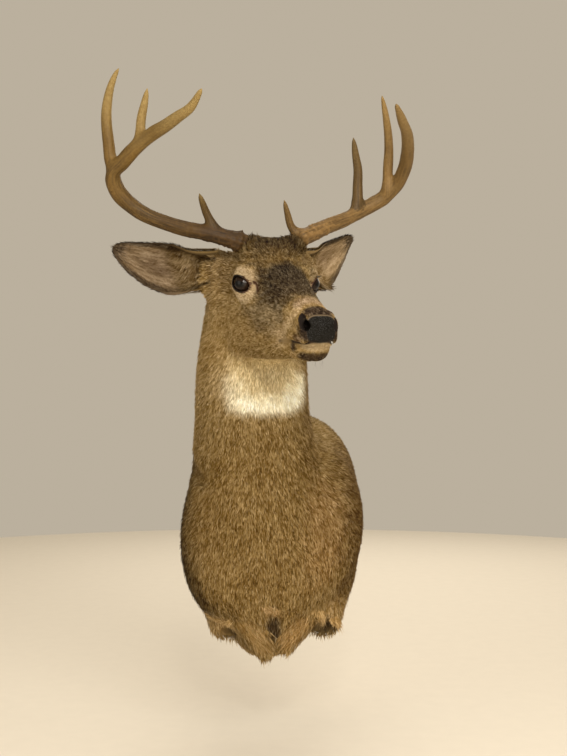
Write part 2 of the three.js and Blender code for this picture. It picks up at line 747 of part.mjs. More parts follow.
// Rings swept along part of a curve, round or pointed at the end, as a closed solid.
function sweepSolid(curve, radius, [from, to], rings, sides) {
  const frames = curve.computeFrenetFrames(FRAME_STEPS, false);
  const positions = [];
  for (let i = 0; i <= rings; i += 1) {
    const t = from + ((to - from) * i) / rings;
    const centre = curve.getPointAt(t);
    const frame = Math.round(t * FRAME_STEPS);
    for (let j = 0; j < sides; j += 1) {
      const angle = (2 * Math.PI * j) / sides;
      const reach = radius(t);
      const point = centre.clone()
        .addScaledVector(frames.normals[frame], Math.cos(angle) * reach)
        .addScaledVector(frames.binormals[frame], Math.sin(angle) * reach);
      positions.push(point.toArray());
    }
  }
  return tubeSolid(positions, rings + 1, sides);
}

// Closed solid from rings of points, with a fan of triangles at each end.
function tubeSolid(rings, count, sides) {
  const positions = [...rings];
  const triangles = [];
  for (let i = 0; i < count - 1; i += 1) {
    for (let j = 0; j < sides; j += 1) {
      const a = i * sides + j;
      const b = i * sides + ((j + 1) % sides);
      pushQuad(triangles, positions, [a, b, b + sides, a + sides]);
    }
  }
  for (let j = 1; j < sides - 1; j += 1) {
    triangles.push([0, j + 1, j]);
    const last = (count - 1) * sides;
    triangles.push([last, last + j, last + j + 1]);
  }
  const piece = solid({ positions, triangles });
  return piece.volume() > 0 ? piece : solid({ positions, triangles: triangles.map(turned) });
}

function burrRadius(t) {
  const bump = Math.exp(-(((t - BURR_AT) / BURR_SPREAD) ** 2));
  const beam = tableValue(BEAM_RADII, t, 1);
  return beam + (BURR_RADIUS - beam) * bump;
}

function beamParts(curve, forks, growth) {
  const gap = GAP / 2 / curve.getLength();
  const radius = (t) => burrRadius(t) + growth;
  const cuts = [0, ...forks, 1];
  const pieces = [];
  for (let i = 0; i < cuts.length - 1; i += 1) {
    const from = cuts[i] + (i > 0 ? gap : 0);
    const to = cuts[i + 1] - (i < forks.length ? gap : 0);
    const rings = i === 0 ? BEAM_BASE_RINGS : BEAM_RINGS;
    pieces.push(sweepSolid(curve, radius, [from, to], rings, ANTLER_SIDES));
  }
  return pieces;
}

function addAntlers() {
  for (const [side, antler] of Object.entries(ANTLERS)) {
    const curve = curveOf(antler.beam);
    const names = ['beam_base', 'beam_middle', 'beam_tip'];
    const beams = beamParts(curve, antler.forks, 0);
    beams.forEach((beam, i) => {
      const piece = i === 0 ? beam.subtract(headSeat) : beam;
      addPiece(`antler_${side}_${names[i]}`, piece, ANTLER);
    });
    const whole = sweepSolid(curve, (t) => burrRadius(t) + GAP, [0, 1], SEAT_RINGS, ANTLER_SIDES);
    const seat = beamParts(curve, antler.forks, GAP).reduce((sum, part) => sum.add(part), whole);
    for (const [name, tine] of Object.entries(antler.tines)) {
      const line = curveOf(tine.line);
      const radius = (t) => tableValue(TINE_RADII, t, 1) * tine.girth;
      const shape = sweepSolid(line, radius, [0, 1], TINE_RINGS, TINE_SIDES);
      addPiece(`antler_${side}_${name}`, shape.subtract(seat).subtract(headSeat), ANTLER);
    }
  }
}

addFlesh();
addStubs();
addEars();
addAntlers();
addPiece('back_board', boardSolid(0), PLYWOOD);

export default group;
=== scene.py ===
"""A white-tailed deer shoulder mount, life size: one skin with its coat, antlers, eyes and back board."""
import logging
from dataclasses import dataclass, field
from enum import Enum
from typing import Callable, Sequence

import bpy
import numpy as np
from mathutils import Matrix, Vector
from mathutils.kdtree import KDTree


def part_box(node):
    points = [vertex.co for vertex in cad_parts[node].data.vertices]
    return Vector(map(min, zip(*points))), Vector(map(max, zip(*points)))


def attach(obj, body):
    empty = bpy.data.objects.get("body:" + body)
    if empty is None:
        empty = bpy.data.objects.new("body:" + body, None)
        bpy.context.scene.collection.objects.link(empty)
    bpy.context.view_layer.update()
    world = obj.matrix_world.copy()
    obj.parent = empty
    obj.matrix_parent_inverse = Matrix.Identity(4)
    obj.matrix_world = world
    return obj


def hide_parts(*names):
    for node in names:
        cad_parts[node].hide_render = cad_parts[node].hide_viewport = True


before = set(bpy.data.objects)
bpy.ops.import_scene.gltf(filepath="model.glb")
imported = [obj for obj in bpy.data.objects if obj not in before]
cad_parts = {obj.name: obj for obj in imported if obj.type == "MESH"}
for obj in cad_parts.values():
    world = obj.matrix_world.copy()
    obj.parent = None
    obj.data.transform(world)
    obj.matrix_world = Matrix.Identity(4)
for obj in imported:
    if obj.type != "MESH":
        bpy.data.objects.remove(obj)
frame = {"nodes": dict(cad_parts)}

log = logging.getLogger("deer_mount")
Array = np.ndarray
Point = tuple[float, float, float]
Colour = tuple[int, int, int]
Piece = bpy.types.Object
Material = bpy.types.Material
Socket = bpy.types.NodeSocket
MM = 0.001  # metres in a millimetre; shapes are worked out in millimetres


# --- Numbers, tables and noise ---

def vec(*values: float) -> Array:
    """A float array of these values."""
    return np.array(values, float)


def unit(v: Array) -> Array:
    """Vectors of the last axis scaled to length one."""
    return v / np.maximum(np.linalg.norm(v, axis=-1, keepdims=True), 1e-9)


def ramp(x: Array, low: float, high: float) -> Array:
    """Smooth step from 0 at low to 1 at high."""
    t = np.clip((x - low) / (high - low), 0, 1)
    return t * t * (3 - 2 * t)


def bump(x: Array, middle: float, width: float) -> Array:
    """Bell of height one round middle."""
    return np.exp(-(((x - middle) / width) ** 2))


def table_value(rows: Sequence[Sequence[float]], x: Array, column: int) -> Array:
    """Smooth interpolation of a table whose first column rises.

    Args:
        rows: the table.
        x: values looked up in the first column.
        column: the column read.

    Returns:
        The interpolated values.
    """
    data = np.asarray(rows, float)
    keys, values = data[:, 0], data[:, column]
    x = np.clip(x, keys[0], keys[-1])
    last = len(keys) - 1
    i = np.clip(np.searchsorted(keys, x) - 1, 0, last - 1)
    before, after = np.maximum(i - 1, 0), np.minimum(i + 2, last)
    width = keys[i + 1] - keys[i]
    t = (x - keys[i]) / width
    m0 = (values[i + 1] - values[before]) / (keys[i + 1] - keys[before]) * width
    m1 = (values[after] - values[i]) / (keys[after] - keys[i]) * width
    rise = values[i + 1] - values[i]
    return values[i] + m0 * t + (3 * rise - 2 * m0 - m1) * t**2 + (m0 + m1 - 2 * rise) * t**3


class Noise:
    """Smooth repeatable noise from a table of random numbers."""

    SIDE = 32

    def __init__(self, seed: int) -> None:
        """Fills the table."""
        self.table = np.random.default_rng(seed).random((self.SIDE,) * 3)

    def at(self, points: Array, scale: float) -> Array:
        """Noise between -1 and 1.

        Args:
            points: places in millimetres.
            scale: size of one bump in millimetres.

        Returns:
            One value for each place.
        """
        cell = points / scale
        low = np.floor(cell).astype(int)
        t = cell - low
        t = t * t * (3 - 2 * t)
        total = np.zeros(points.shape[:-1])
        for corner in range(8):
            step = np.array([corner & 1, corner >> 1 & 1, corner >> 2])
            weight = np.prod(np.where(step, t, 1 - t), axis=-1)
            index = (low + step) % self.SIDE
            total += weight * self.table[index[..., 0], index[..., 1], index[..., 2]]
        return 2 * total - 1


NOISE = Noise(seed=11)


def smooth_min(a: Array, b: Array, blend: float) -> Array:
    """The lesser of two distances, rounded where they meet."""
    h = np.maximum(blend - np.abs(a - b), 0) / blend
    return np.minimum(a, b) - h * h * blend / 4


def smooth_max(a: Array, b: Array, blend: float) -> Array:
    """The greater of two distances, rounded where they meet."""
    return -smooth_min(-a, -b, blend)


# --- Forms of the flesh, as distances that are negative inside ---

@dataclass(frozen=True)
class Ellipsoid:
    """An ellipsoid and the blend with which it joins its neighbours."""

    at: Point
    radii: Point
    blend: float = 10.0

    def distance(self, p: Array) -> Array:
        """Distance from each place."""
        radii = vec(*self.radii)
        q = (p - vec(*self.at)) / radii
        k0 = np.linalg.norm(q, axis=-1)
        k1 = np.maximum(np.linalg.norm(q / radii, axis=-1), 1e-9)
        return k0 * (k0 - 1) / k1


@dataclass(frozen=True)
class RoundCone:
    """A rod whose radius changes evenly from start to end."""

    start: Point
    end: Point
    radii: tuple[float, float]
    blend: float = 10.0

    def distance(self, p: Array) -> Array:
        """Distance from each place."""
        a = vec(*self.start)
        axis = vec(*self.end) - a
        t = np.clip(((p - a) @ axis) / (axis @ axis), 0, 1)
        radius = self.radii[0] + (self.radii[1] - self.radii[0]) * t
        return np.linalg.norm(p - a - t[..., None] * axis, axis=-1) - radius


def section_distance(x: Array, y: Array, rx: Array, ry: Array, squareness: float) -> Array:
    """Distance to a rounded-square section of half sizes rx and ry, towards its middle."""
    q = (np.abs(x / rx) ** squareness + np.abs(y / ry) ** squareness) ** (1 / squareness)
    return np.where(q > 0.05, np.hypot(x, y) * (1 - 1 / np.maximum(q, 1e-6)), -np.minimum(rx, ry))


@dataclass(frozen=True)
class HeadFrame:
    """Where the head is: origin midway between the eyes; a to its left, f forward, u up."""

    middle: Point = (12, -380, 423)
    yaw: float = 21.0
    pitch: float = -14.0
    roll: float = 1.5

    def axes(self) -> Array:
        """The three axes as rows, in the row frame."""
        yaw, pitch, roll = np.radians([self.yaw, self.pitch, self.roll])
        forward = vec(np.sin(yaw) * np.cos(pitch), -np.cos(yaw) * np.cos(pitch), np.sin(pitch))
        level = vec(np.cos(yaw), np.sin(yaw), 0)
        upright = np.cross(forward, level)
        left = level * np.cos(roll) + upright * np.sin(roll)
        return np.array([left, forward, upright * np.cos(roll) - level * np.sin(roll)])

    def enter(self, p: Array) -> Array:
        """Places of the row frame in the head's own frame."""
        return (p - vec(*self.middle)) @ self.axes().T

    def leave(self, q: Array) -> Array:
        """Places of the head's own frame in the row frame."""
        return vec(*self.middle) + np.asarray(q, float) @ self.axes()


HEAD = HeadFrame()


@dataclass(frozen=True)
class EyeForm:
    """The eyeball and the opening of the lids, in the head frame, mirrored for the other side."""

    at: Point = (53, -2, 0)
    radius: float = 16.0
    axis: Point = (0.77, 0.64, 0.0)
    half_width: float = 15.4
    half_height: float = 10.8
    almond: float = 2.0
    tilt: float = 0.12  # the front corner is lower
    lid: float = 2.6  # thickness of the lids over the ball

    def local(self, q: Array) -> Array:
        """Head-frame places as (towards the nose, up, outward) from the ball's middle."""
        out = vec(*self.axis)
        front = vec(-out[1], out[0], 0)
        offset = q - vec(*self.at)
        return np.stack([offset @ front, offset[..., 2], offset @ out], -1)

    def opening(self, local: Array) -> Array:
        """Distance to the edge of the opening, across the eye's axis."""
        x, y = local[..., 0], local[..., 1]
        return section_distance(x, y + self.tilt * x, self.half_width, self.half_height, self.almond)


@dataclass(frozen=True)
class HeadForm:
    """The head's lengthwise sections and the forms laid on them, in millimetres."""

    sections: tuple = (  # f, top u, bottom u, half width, widening towards the top
        (-125, -10, -105, 56, 0),
        (-105, 20, -112, 60, -0.06),
        (-80, 42, -113, 62, -0.1),
        (-50, 55, -112, 62, -0.16),
        (-30, 55, -109, 61, -0.2),
        (0, 47, -102, 56, -0.16),
        (30, 34, -95, 49, -0.08),
        (60, 20, -86, 42, 0),
        (100, 7, -74, 34, 0.04),
        (140, -3, -66, 29.5, 0.04),
        (165, -9, -63, 27.5, 0.02),
        (180, -15, -61, 24.5, 0),
        (190, -22, -57, 19.5, 0),
    )
    back: float = -118
    front: float = 189
    squareness: float = 2.3
    added: tuple = (
        Ellipsoid((46, -3, 18), (16, 27, 11), 20),  # brow
        Ellipsoid((47, -9, -1), (17, 30, 22), 22),  # ring of the eye
        Ellipsoid((36, 28, -34), (17, 50, 18), 30),  # cheekbone
        Ellipsoid((36, -30, -60), (23, 44, 38), 24),  # jaw muscle
        Ellipsoid((17, 169, -29), (12.5, 15, 15), 9),  # wing of the nostril
        Ellipsoid((0, 176, -35), (22, 16, 18.5), 5),  # pad of the nose
        Ellipsoid((19, 150, -50), (12, 34, 11), 12),  # upper lip
        Ellipsoid((0, 158, -69), (20, 20, 14), 12),  # chin
        Ellipsoid((0, -38, 48), (44, 34, 17), 16),  # crown
        RoundCone((11, 150, -72), (32, -20, -99), (11, 23), 20),  # side of the jaw
        RoundCone((0, 136, -72), (0, -10, -101), (12, 25), 14),  # floor of the jaw
        RoundCone((26, -35, 40), (37, -37, 50), (21, 18), 16),  # pedicle of the antler
        RoundCone((38, -76, 0), (70, -94, 12), (34, 27), 26),  # butt of the ear
        RoundCone((48, -70, -38), (86, -90, -18), (28, 14), 22),  # hair under the ear
    )
    cut: tuple = (
        Ellipsoid((67, 13, -1), (12, 21, 12), 6),  # orbit
        Ellipsoid((58, 44, -3), (8, 20, 10), 18),  # hollow before the eye
    )
    nostril: tuple = (
        RoundCone((22, 181, -30), (27, 169, -15), (7.2, 3.6), 1.8),
        RoundCone((22, 181, -30), (15, 168, -29), (6.4, 4.0), 1.8),
    )
    lip_line: tuple = ((0, 192, -52.5), (15, 188, -53), (23.5, 173, -55), (27, 155, -58),
                       (27.3, 135, -61.6), (27.6, 119, -64.3), (28.7, 97, -68.6))
    lip_groove: float = 1.9
    tear_line: tuple = ((46, 22, 4.5), (42.6, 26, 3.3), (42, 28.8, -2.6), (41.7, 34, -9.9))
    eye: EyeForm = EyeForm()

    def outline(self, q: Array) -> Array:
        """Distance to the outline of the coat, for places mirrored onto the left side."""
        a, f, u = q[..., 0], q[..., 1], q[..., 2]
        top, bottom = table_value(self.sections, f, 1), table_value(self.sections, f, 2)
        half = (top - bottom) / 2
        v = u - (top + bottom) / 2
        widening = 1 + table_value(self.sections, f, 4) * np.clip(v / half, -1, 1)
        width = table_value(self.sections, f, 3) * widening
        d = section_distance(a, v, width, half, self.squareness)
        d = smooth_max(d, np.maximum(f - self.front, self.back - f), 12)
        for form in self.added:
            d = smooth_min(d, form.distance(q), form.blend)
        for form in self.cut:
            d = smooth_max(d, -form.distance(q), form.blend)
        return d

    def to_nostril(self, q: Array) -> Array:
        """Distance to the nostril."""
        return np.minimum.reduce([form.distance(q) for form in self.nostril])

    def features(self, d: Array, q: Array) -> Array:
        """Adds lids, nostrils, the line of the mouth and the tear line to a skin.

        Args:
            d: distance to the skin of the head.
            q: places in the head frame, mirrored onto the left side.

        Returns:
            The distance with the features.
        """
        eye = self.eye.local(q)
        ball = np.linalg.norm(eye, axis=-1)
        d = smooth_min(d, ball - self.eye.radius - self.eye.lid, 7)
        opening = self.eye.opening(eye)
        crease = 0.9 * bump(opening, 5.0, 1.3) * ramp(eye[..., 1], -2, 4)
        d = d + crease * ramp(eye[..., 2], 0, 8) * ramp(30 - ball, 0, 6)
        d = smooth_max(d, -np.maximum(opening, 3 - eye[..., 2]), 1.6)
        d = smooth_max(d, -self.to_nostril(q), 1.8)
        d = smooth_max(d, -(line_distance(q, self.lip_line) - self.lip_groove), 3.0)
        d = smooth_max(d, -(line_distance(q, self.tear_line) - 1.6), 3.0)
        philtrum = RoundCone((0, 192, -42), (0, 190, -57), (0.7, 0.7), 2.4)
        return smooth_max(d, -philtrum.distance(q), philtrum.blend)


def line_distance(q: Array, points: Sequence[Sequence[float]]) -> Array:
    """Distance to a line through these points."""
    parts = [RoundCone(a, b, (0, 0)).distance(q) for a, b in zip(points, points[1:])]
    return np.minimum.reduce(parts)


@dataclass(frozen=True)
class Stub:
    """A foreleg cut short, with a hollow end."""

    rod: RoundCone
    hollow: Ellipsoid


@dataclass(frozen=True)
class BodyForm:
    """Neck, breast, shoulders and foreleg stubs, in millimetres."""

    neck_sections: tuple = (  # Z, middle X, half width, reach from the wall at throat and nape
        (-215, -12, 20, 175, 120),
        (-170, -8, 62, 215, 10),
        (-100, -2, 108, 268, -30),
        (0, -6, 134, 318, -34),
        (100, -20, 117, 329, 14),
        (200, -30, 98, 329, 88),
        (300, -31, 91, 334, 134),
        (400, -26, 76, 345, 182),
        (450, -18, 60, 340, 225),
        (475, -12, 46, 325, 250),
    )
    neck_squareness: float = 2.3
    neck_top: float = 468
    neck_bottom: float = -205
    barrel_at: tuple = (8, 0, 10)
    barrel_radii: tuple = (153, 245, 205)
    barrel_squareness: float = 2.6
    added: tuple = (
        Ellipsoid((84, -178, 34), (74, 100, 120), 34),  # left shoulder
        Ellipsoid((-78, -190, -10), (74, 95, 125), 34),  # right shoulder
        Ellipsoid((-2, -165, -135), (60, 62, 56), 30),  # brisket
        RoundCone((-42, -205, -122), (-10, -205, -188), (34, 16), 10),  # its right lobe
        RoundCone((60, -200, -118), (27, -200, -178), (32, 16), 10),  # its left lobe
    )
    stubs: tuple = (
        Stub(RoundCone((-96, -140, -70), (-80, -158, -147), (42, 30), 18),
             Ellipsoid((-74, -194, -158), (19, 36, 18), 5)),
        Stub(RoundCone((100, -135, -70), (92, -158, -142), (43, 32), 18),
             Ellipsoid((88, -193, -154), (24, 36, 21), 5)),
    )
    notch: RoundCone = RoundCone((0, -272, -108), (12, -238, -192), (9, 7), 12)
    fold: RoundCone = RoundCone((-143, -215, 134), (-112, -290, 108), (16, 5), 14)  # neck to shoulder
    wall: float = -1.0

    def outline(self, p: Array) -> Array:
        """Distance to the outline of the coat, without the stubs."""
        x, y, z = p[..., 0], p[..., 1], p[..., 2]
        front, back = table_value(self.neck_sections, z, 3), table_value(self.neck_sections, z, 4)
        d = section_distance(x - table_value(self.neck_sections, z, 1), y + (front + back) / 2,
                             table_value(self.neck_sections, z, 2), (front - back) / 2,
                             self.neck_squareness)
        d = smooth_max(d, np.maximum(z - self.neck_top, self.neck_bottom - z), 30)
        q = p - vec(*self.barrel_at)
        k = (np.abs(q / vec(*self.barrel_radii)) ** self.barrel_squareness).sum(-1)
        k = k ** (1 / self.barrel_squareness)
        d = smooth_min(d, np.linalg.norm(q, axis=-1) * (1 - 1 / np.maximum(k, 0.05)), 26)
        for form in self.added:
            d = smooth_min(d, form.distance(p), form.blend)
        return smooth_max(d, -self.fold.distance(p), self.fold.blend)

    def with_stubs(self, d: Array, p: Array, depth: float) -> Array:
        """Adds the foreleg stubs, drawn in by the coat's depth, and their hollows."""
        for stub in self.stubs:
            d = smooth_min(d, stub.rod.distance(p) + depth, stub.rod.blend)
        for stub in self.stubs:
            d = smooth_max(d, -stub.hollow.distance(p), stub.hollow.blend)
        return smooth_max(d, -self.notch.distance(p), self.notch.blend)


@dataclass(frozen=True)
class SkinForm:
    """The whole skin: the outline of the coat drawn in by the coat's depth, with its features."""

    head: HeadForm = HeadForm()
    body: BodyForm = BodyForm()
    blend: float = 34.0
    head_floor: float = 225.0  # no part of the head lies lower
    body_depth: float = 6.0
    head_depth: tuple = ((-130, 5.5), (-70, 4.2), (-20, 3.2), (40, 2.6), (100, 2.0), (150, 1.2),
                         (168, 0.5), (192, 0.2))

    def distance(self, p: Array) -> Array:
        """Distance to the skin."""
        shape = p.shape[:-1]
        flat = p.reshape(-1, 3)
        d = self.body.outline(flat)
        depth = np.full(len(flat), self.body_depth)
        near = flat[:, 2] > self.head_floor
        if near.any():
            q = mirrored(HEAD.enter(flat[near]))
            head = self.head.outline(q)
            share = ramp(d[near] - head, -25, 25)
            face = table_value(self.head_depth, q[:, 1], 1)
            depth[near] += (face - self.body_depth) * share
            joined = smooth_min(head, d[near], self.blend) + depth[near]
            d[near] = self.head.features(joined, q)
        low = ~near
        d[low] = self.body.with_stubs(d[low] + self.body_depth, flat[low], self.body_depth)
        d = smooth_max(d, flat[:, 1] - self.body.wall, 3.0)
        return d.reshape(shape)


def mirrored(q: Array) -> Array:
    """Head-frame places folded onto the deer's left side."""
    return np.concatenate([np.abs(q[..., :1]), q[..., 1:]], axis=-1)


# --- Meshing ---

@dataclass
class Surface:
    """Points in millimetres and the triangles between them."""

    points: Array
    triangles: Array

    def normals(self) -> Array:
        """Unit normals at the points."""
        a, b, c = (self.points[self.triangles[:, i]] for i in range(3))
        faces = np.cross(b - a, c - a)
        total = np.zeros_like(self.points)
        for i in range(3):
            for axis in range(3):
                total[:, axis] += np.bincount(self.triangles[:, i], faces[:, axis], len(total))
        return unit(total)

    def areas(self) -> Array:
        """Area of each triangle in square millimetres."""
        a, b, c = (self.points[self.triangles[:, i]] for i in range(3))
        return np.linalg.norm(np.cross(b - a, c - a), axis=1) / 2


def graded_axis(low: float, high: float, coarse: float, fine: float,
                span: tuple[float, float]) -> Array:
    """Grid lines from low to high, close together within span.

    Args:
        low: first line.
        high: last line, or a little less.
        coarse: spacing outside span.
        fine: spacing within it.
        span: where the spacing is fine.

    Returns:
        The lines' places.
    """
    lines = [low]
    while lines[-1] < high:
        away = max(span[0] - lines[-1], lines[-1] - span[1], 0)
        lines.append(lines[-1] + fine + (coarse - fine) * min(away / 40, 1))
    return np.array(lines)


@dataclass
class Netter:
    """Makes a closed surface from a distance, on a grid with uneven spacing."""

    distance: Callable[[Array], Array]
    axes: tuple[Array, Array, Array]
    block: int = 8

    def samples(self) -> Array:
        """Distances at all grid points, worked out only near the surface."""
        counts = [len(axis) for axis in self.axes]
        starts = [np.arange(0, n - 1, self.block) for n in counts]
        ends = [np.minimum(s + self.block, n - 1) for s, n in zip(starts, counts)]
        lows = [axis[s] for axis, s in zip(self.axes, starts)]
        highs = [axis[e] for axis, e in zip(self.axes, ends)]
        centres = np.stack(np.meshgrid(*[(a + b) / 2 for a, b in zip(lows, highs)],
                                       indexing="ij"), -1)
        spans = np.stack(np.meshgrid(*[b - a for a, b in zip(lows, highs)], indexing="ij"), -1)
        middle = self.distance(centres)
        values = middle
        for axis in range(3):
            index = np.minimum(np.arange(counts[axis]) // self.block, len(starts[axis]) - 1)
            values = np.take(values, index, axis=axis)
        values = values.astype(np.float32)
        close = np.argwhere(np.abs(middle) < np.linalg.norm(spans, axis=-1) * 0.95)
        offsets = np.stack(np.meshgrid(*[np.arange(self.block + 1)] * 3, indexing="ij"), -1)
        offsets = offsets.reshape(-1, 3)
        for chunk in np.array_split(close, max(len(close) // 400, 1)):
            index = (chunk[:, None] * self.block + offsets).reshape(-1, 3)
            index = np.minimum(index, np.array(counts) - 1)
            places = np.stack([self.axes[i][index[:, i]] for i in range(3)], -1)
            values[tuple(index.T)] = self.distance(places)
        return values

    def surface(self) -> Surface:
        """The surface, with one point for each crossed cell, slid onto it."""
        values = self.samples()
        counts = np.array(values.shape)
        strides = np.array([counts[1] * counts[2], counts[2], 1])
        cells, places, inside = [], [], []
        for axis in range(3):
            e1, e2 = (axis + 1) % 3, (axis + 2) % 3
            low = np.moveaxis(values, axis, 0)[:-1] < 0
            high = np.moveaxis(values, axis, 0)[1:] < 0
            found = np.argwhere(np.moveaxis(low != high, 0, axis))
            found = found[(found[:, e1] > 0) & (found[:, e2] > 0)]
            step = np.eye(3, dtype=int)[axis]
            a, b = values[tuple(found.T)], values[tuple((found + step).T)]
            start = np.stack([self.axes[i][found[:, i]] for i in range(3)], -1)
            length = self.axes[axis][found[:, axis] + 1] - self.axes[axis][found[:, axis]]
            start[:, axis] += a / (a - b) * length
            ring = []
            for s, t in ((0, 0), (1, 0), (1, 1), (0, 1)):
                cell = found.copy()
                cell[:, e1] -= s
                cell[:, e2] -= t
                ring.append(cell @ strides)
            cells.append(np.stack(ring, 1))
            places.append(start)
            inside.append(a < 0)
        cells, places, inside = (np.concatenate(v) for v in (cells, places, inside))
        _, index = np.unique(cells.ravel(), return_inverse=True)
        index = index.reshape(-1, 4)
        many = np.bincount(index.ravel())
        points = np.stack([np.bincount(index.ravel(), np.repeat(places[:, i], 4)) / many
                           for i in range(3)], -1)
        index[~inside] = index[~inside][:, ::-1]
        points = slide_onto(self.distance, points, 3)
        return Surface(points, split_quads(points, index))


def split_quads(points: Array, quads: Array) -> Array:
    """Triangles from quads, along each quad's shorter diagonal."""
    first = np.linalg.norm(points[quads[:, 0]] - points[quads[:, 2]], axis=1)
    second = np.linalg.norm(points[quads[:, 1]] - points[quads[:, 3]], axis=1)
    quads = np.where((first <= second)[:, None], quads, np.roll(quads, -1, axis=1))
    return np.concatenate([quads[:, [0, 1, 2]], quads[:, [0, 2, 3]]])


def slide_onto(distance: Callable[[Array], Array], points: Array, rounds: int,
               reach: float = 1.5) -> Array:
    """Moves points along the slope of a distance until it is zero.

    Args:
        distance: the distance.
        points: the places to move.
        rounds: how many steps.
        reach: the longest step in millimetres.

    Returns:
        The places on the surface.
    """
    step = 0.05
    for _ in range(rounds):
        d = distance(points)
        slope = np.stack([distance(points + step * np.eye(3)[i]) - d for i in range(3)], -1) / step
        move = slope * (d / np.maximum((slope**2).sum(-1), 0.05))[:, None]
        length = np.linalg.norm(move, axis=1, keepdims=True)
        points = points - move * np.minimum(1, reach / np.maximum(length, 1e-9))
    return points


def refine(surface: Surface, size: Callable[[Array], Array],
           distance: Callable[[Array], Array], rounds: int) -> Surface:
    """Halves the edges that are longer than wanted and slides the new points onto the surface.

    Args:
        surface: the surface to refine.
        size: wanted edge length at each place.
        distance: the distance that new points slide onto.
        rounds: how many times all edges are looked at.

    Returns:
        The finer surface, still closed.
    """
    for _ in range(rounds):
        tri, points = surface.triangles, surface.points
        ends = np.sort(np.stack([tri, np.roll(tri, -1, axis=1)], -1), axis=-1).reshape(-1, 2)
        _, first, inverse = np.unique(ends[:, 0] * len(points) + ends[:, 1],
                                      return_index=True, return_inverse=True)
        edges = ends[first]
        middles = points[edges].mean(axis=1)
        lengths = np.linalg.norm(points[edges[:, 0]] - points[edges[:, 1]], axis=1)
        split = lengths > 1.45 * size(middles)
        if not split.any():
            break
        fresh = np.where(split, len(points) + np.cumsum(split) - 1, -1)
        added = slide_onto(distance, middles[split], 2)
        marks = fresh[inverse.reshape(-1, 3)]
        surface = Surface(np.concatenate([points, added]), split_triangles(tri, marks))
    return surface


def split_triangles(tri: Array, marks: Array) -> Array:
    """Triangles cut at their marked edges.

    Args:
        tri: corners of each triangle.
        marks: for the edge after each corner, the index of its new point or -1.

    Returns:
        The new triangles.
    """
    count = (marks >= 0).sum(axis=1)
    turn = np.zeros(len(tri), int)
    turn[count == 1] = np.argmax(marks[count == 1] >= 0, axis=1)
    turn[count == 2] = (np.argmin(marks[count == 2] >= 0, axis=1) + 1) % 3
    order = (turn[:, None] + np.arange(3)) % 3
    v = np.take_along_axis(tri, order, axis=1)
    m = np.take_along_axis(marks, order, axis=1)
    every = np.concatenate([v, m], axis=1)
    patterns = {
        0: [[0, 1, 2]],
        1: [[0, 3, 2], [3, 1, 2]],
        2: [[3, 1, 4], [0, 3, 4], [0, 4, 2]],
        3: [[0, 3, 5], [3, 1, 4], [5, 4, 2], [3, 4, 5]],
    }
    parts = [every[count == n][:, p] for n, many in patterns.items() for p in many]
    return np.concatenate(parts)


def ring_surface(rings: Array) -> Surface:
    """Closed surface over rings of points, with a fan at each end.

    Args:
        rings: places as (ring, place round it, 3).

    Returns:
        The surface, facing outwards.
    """
    count, sides = rings.shape[:2]
    i, j = np.meshgrid(np.arange(count - 1), np.arange(sides), indexing="ij")
    a, b = i * sides + j, i * sides + (j + 1) % sides
    quads = np.stack([a, b, b + sides, a + sides], -1).reshape(-1, 4)
    points = np.concatenate([rings.reshape(-1, 3), [rings[0].mean(0), rings[-1].mean(0)]])
    around = np.arange(sides)
    following = (around + 1) % sides
    last = (count - 1) * sides
    caps = [np.stack([following, around, np.full(sides, count * sides)], -1),
            np.stack([last + around, last + following, np.full(sides, count * sides + 1)], -1)]
    triangles = np.concatenate([quads[:, [0, 1, 2]], quads[:, [0, 2, 3]], *caps])
    a, b, c = (points[triangles[:, k]] for k in range(3))
    if (np.cross(a, b) * c).sum() < 0:
        triangles = triangles[:, ::-1]
    return Surface(points, triangles)


# --- Blender objects ---

def mesh_object(name: str, surface: Surface, smooth: bool = True) -> Piece:
    """A mesh object of a surface, in metres.

    Args:
        name: the object's name.
        surface: points in millimetres and triangles.
        smooth: whether it is shaded smooth.

    Returns:
        The object, linked to the scene.
    """
    mesh = bpy.data.meshes.new(name)
    count = len(surface.triangles)
    mesh.vertices.add(len(surface.points))
    mesh.vertices.foreach_set("co", (surface.points * MM).astype(np.float32).ravel())
    mesh.loops.add(3 * count)
    mesh.loops.foreach_set("vertex_index", surface.triangles.astype(np.int32).ravel())
    mesh.polygons.add(count)
    mesh.polygons.foreach_set("loop_start", np.arange(0, 3 * count, 3, dtype=np.int32))
    mesh.polygons.foreach_set("use_smooth", np.full(count, smooth))
    mesh.update(calc_edges=True)
    piece = bpy.data.objects.new(name, mesh)
    bpy.context.scene.collection.objects.link(piece)
    return piece


def read_surface(piece: Piece) -> Surface:
    """The surface of an object with its modifiers, in millimetres."""
    mesh = piece.evaluated_get(bpy.context.evaluated_depsgraph_get()).to_mesh()
    mesh.calc_loop_triangles()
    points = np.empty(3 * len(mesh.vertices), np.float32)
    mesh.vertices.foreach_get("co", points)
    corners = np.empty(3 * len(mesh.loop_triangles), np.int32)
    mesh.loop_triangles.foreach_get("vertices", corners)
    return Surface(points.reshape(-1, 3).astype(float) / MM, corners.reshape(-1, 3).astype(int))


def united(surfaces: Sequence[Surface], solver: str = "MANIFOLD") -> Surface:
    """One closed surface round several that overlap.

    Args:
        surfaces: closed surfaces, the largest first.
        solver: Blender's way of joining.

    Returns:
        The joined surface.
    """
    pieces = [mesh_object(f"part_{i}", surface) for i, surface in enumerate(surfaces)]
    for other in pieces[1:]:
        joint = pieces[0].modifiers.new("join", "BOOLEAN")
        joint.operation = "UNION"
        joint.solver = solver
        joint.object = other
    result = read_surface(pieces[0])
    for piece in pieces:
        bpy.data.meshes.remove(piece.data)
    return result


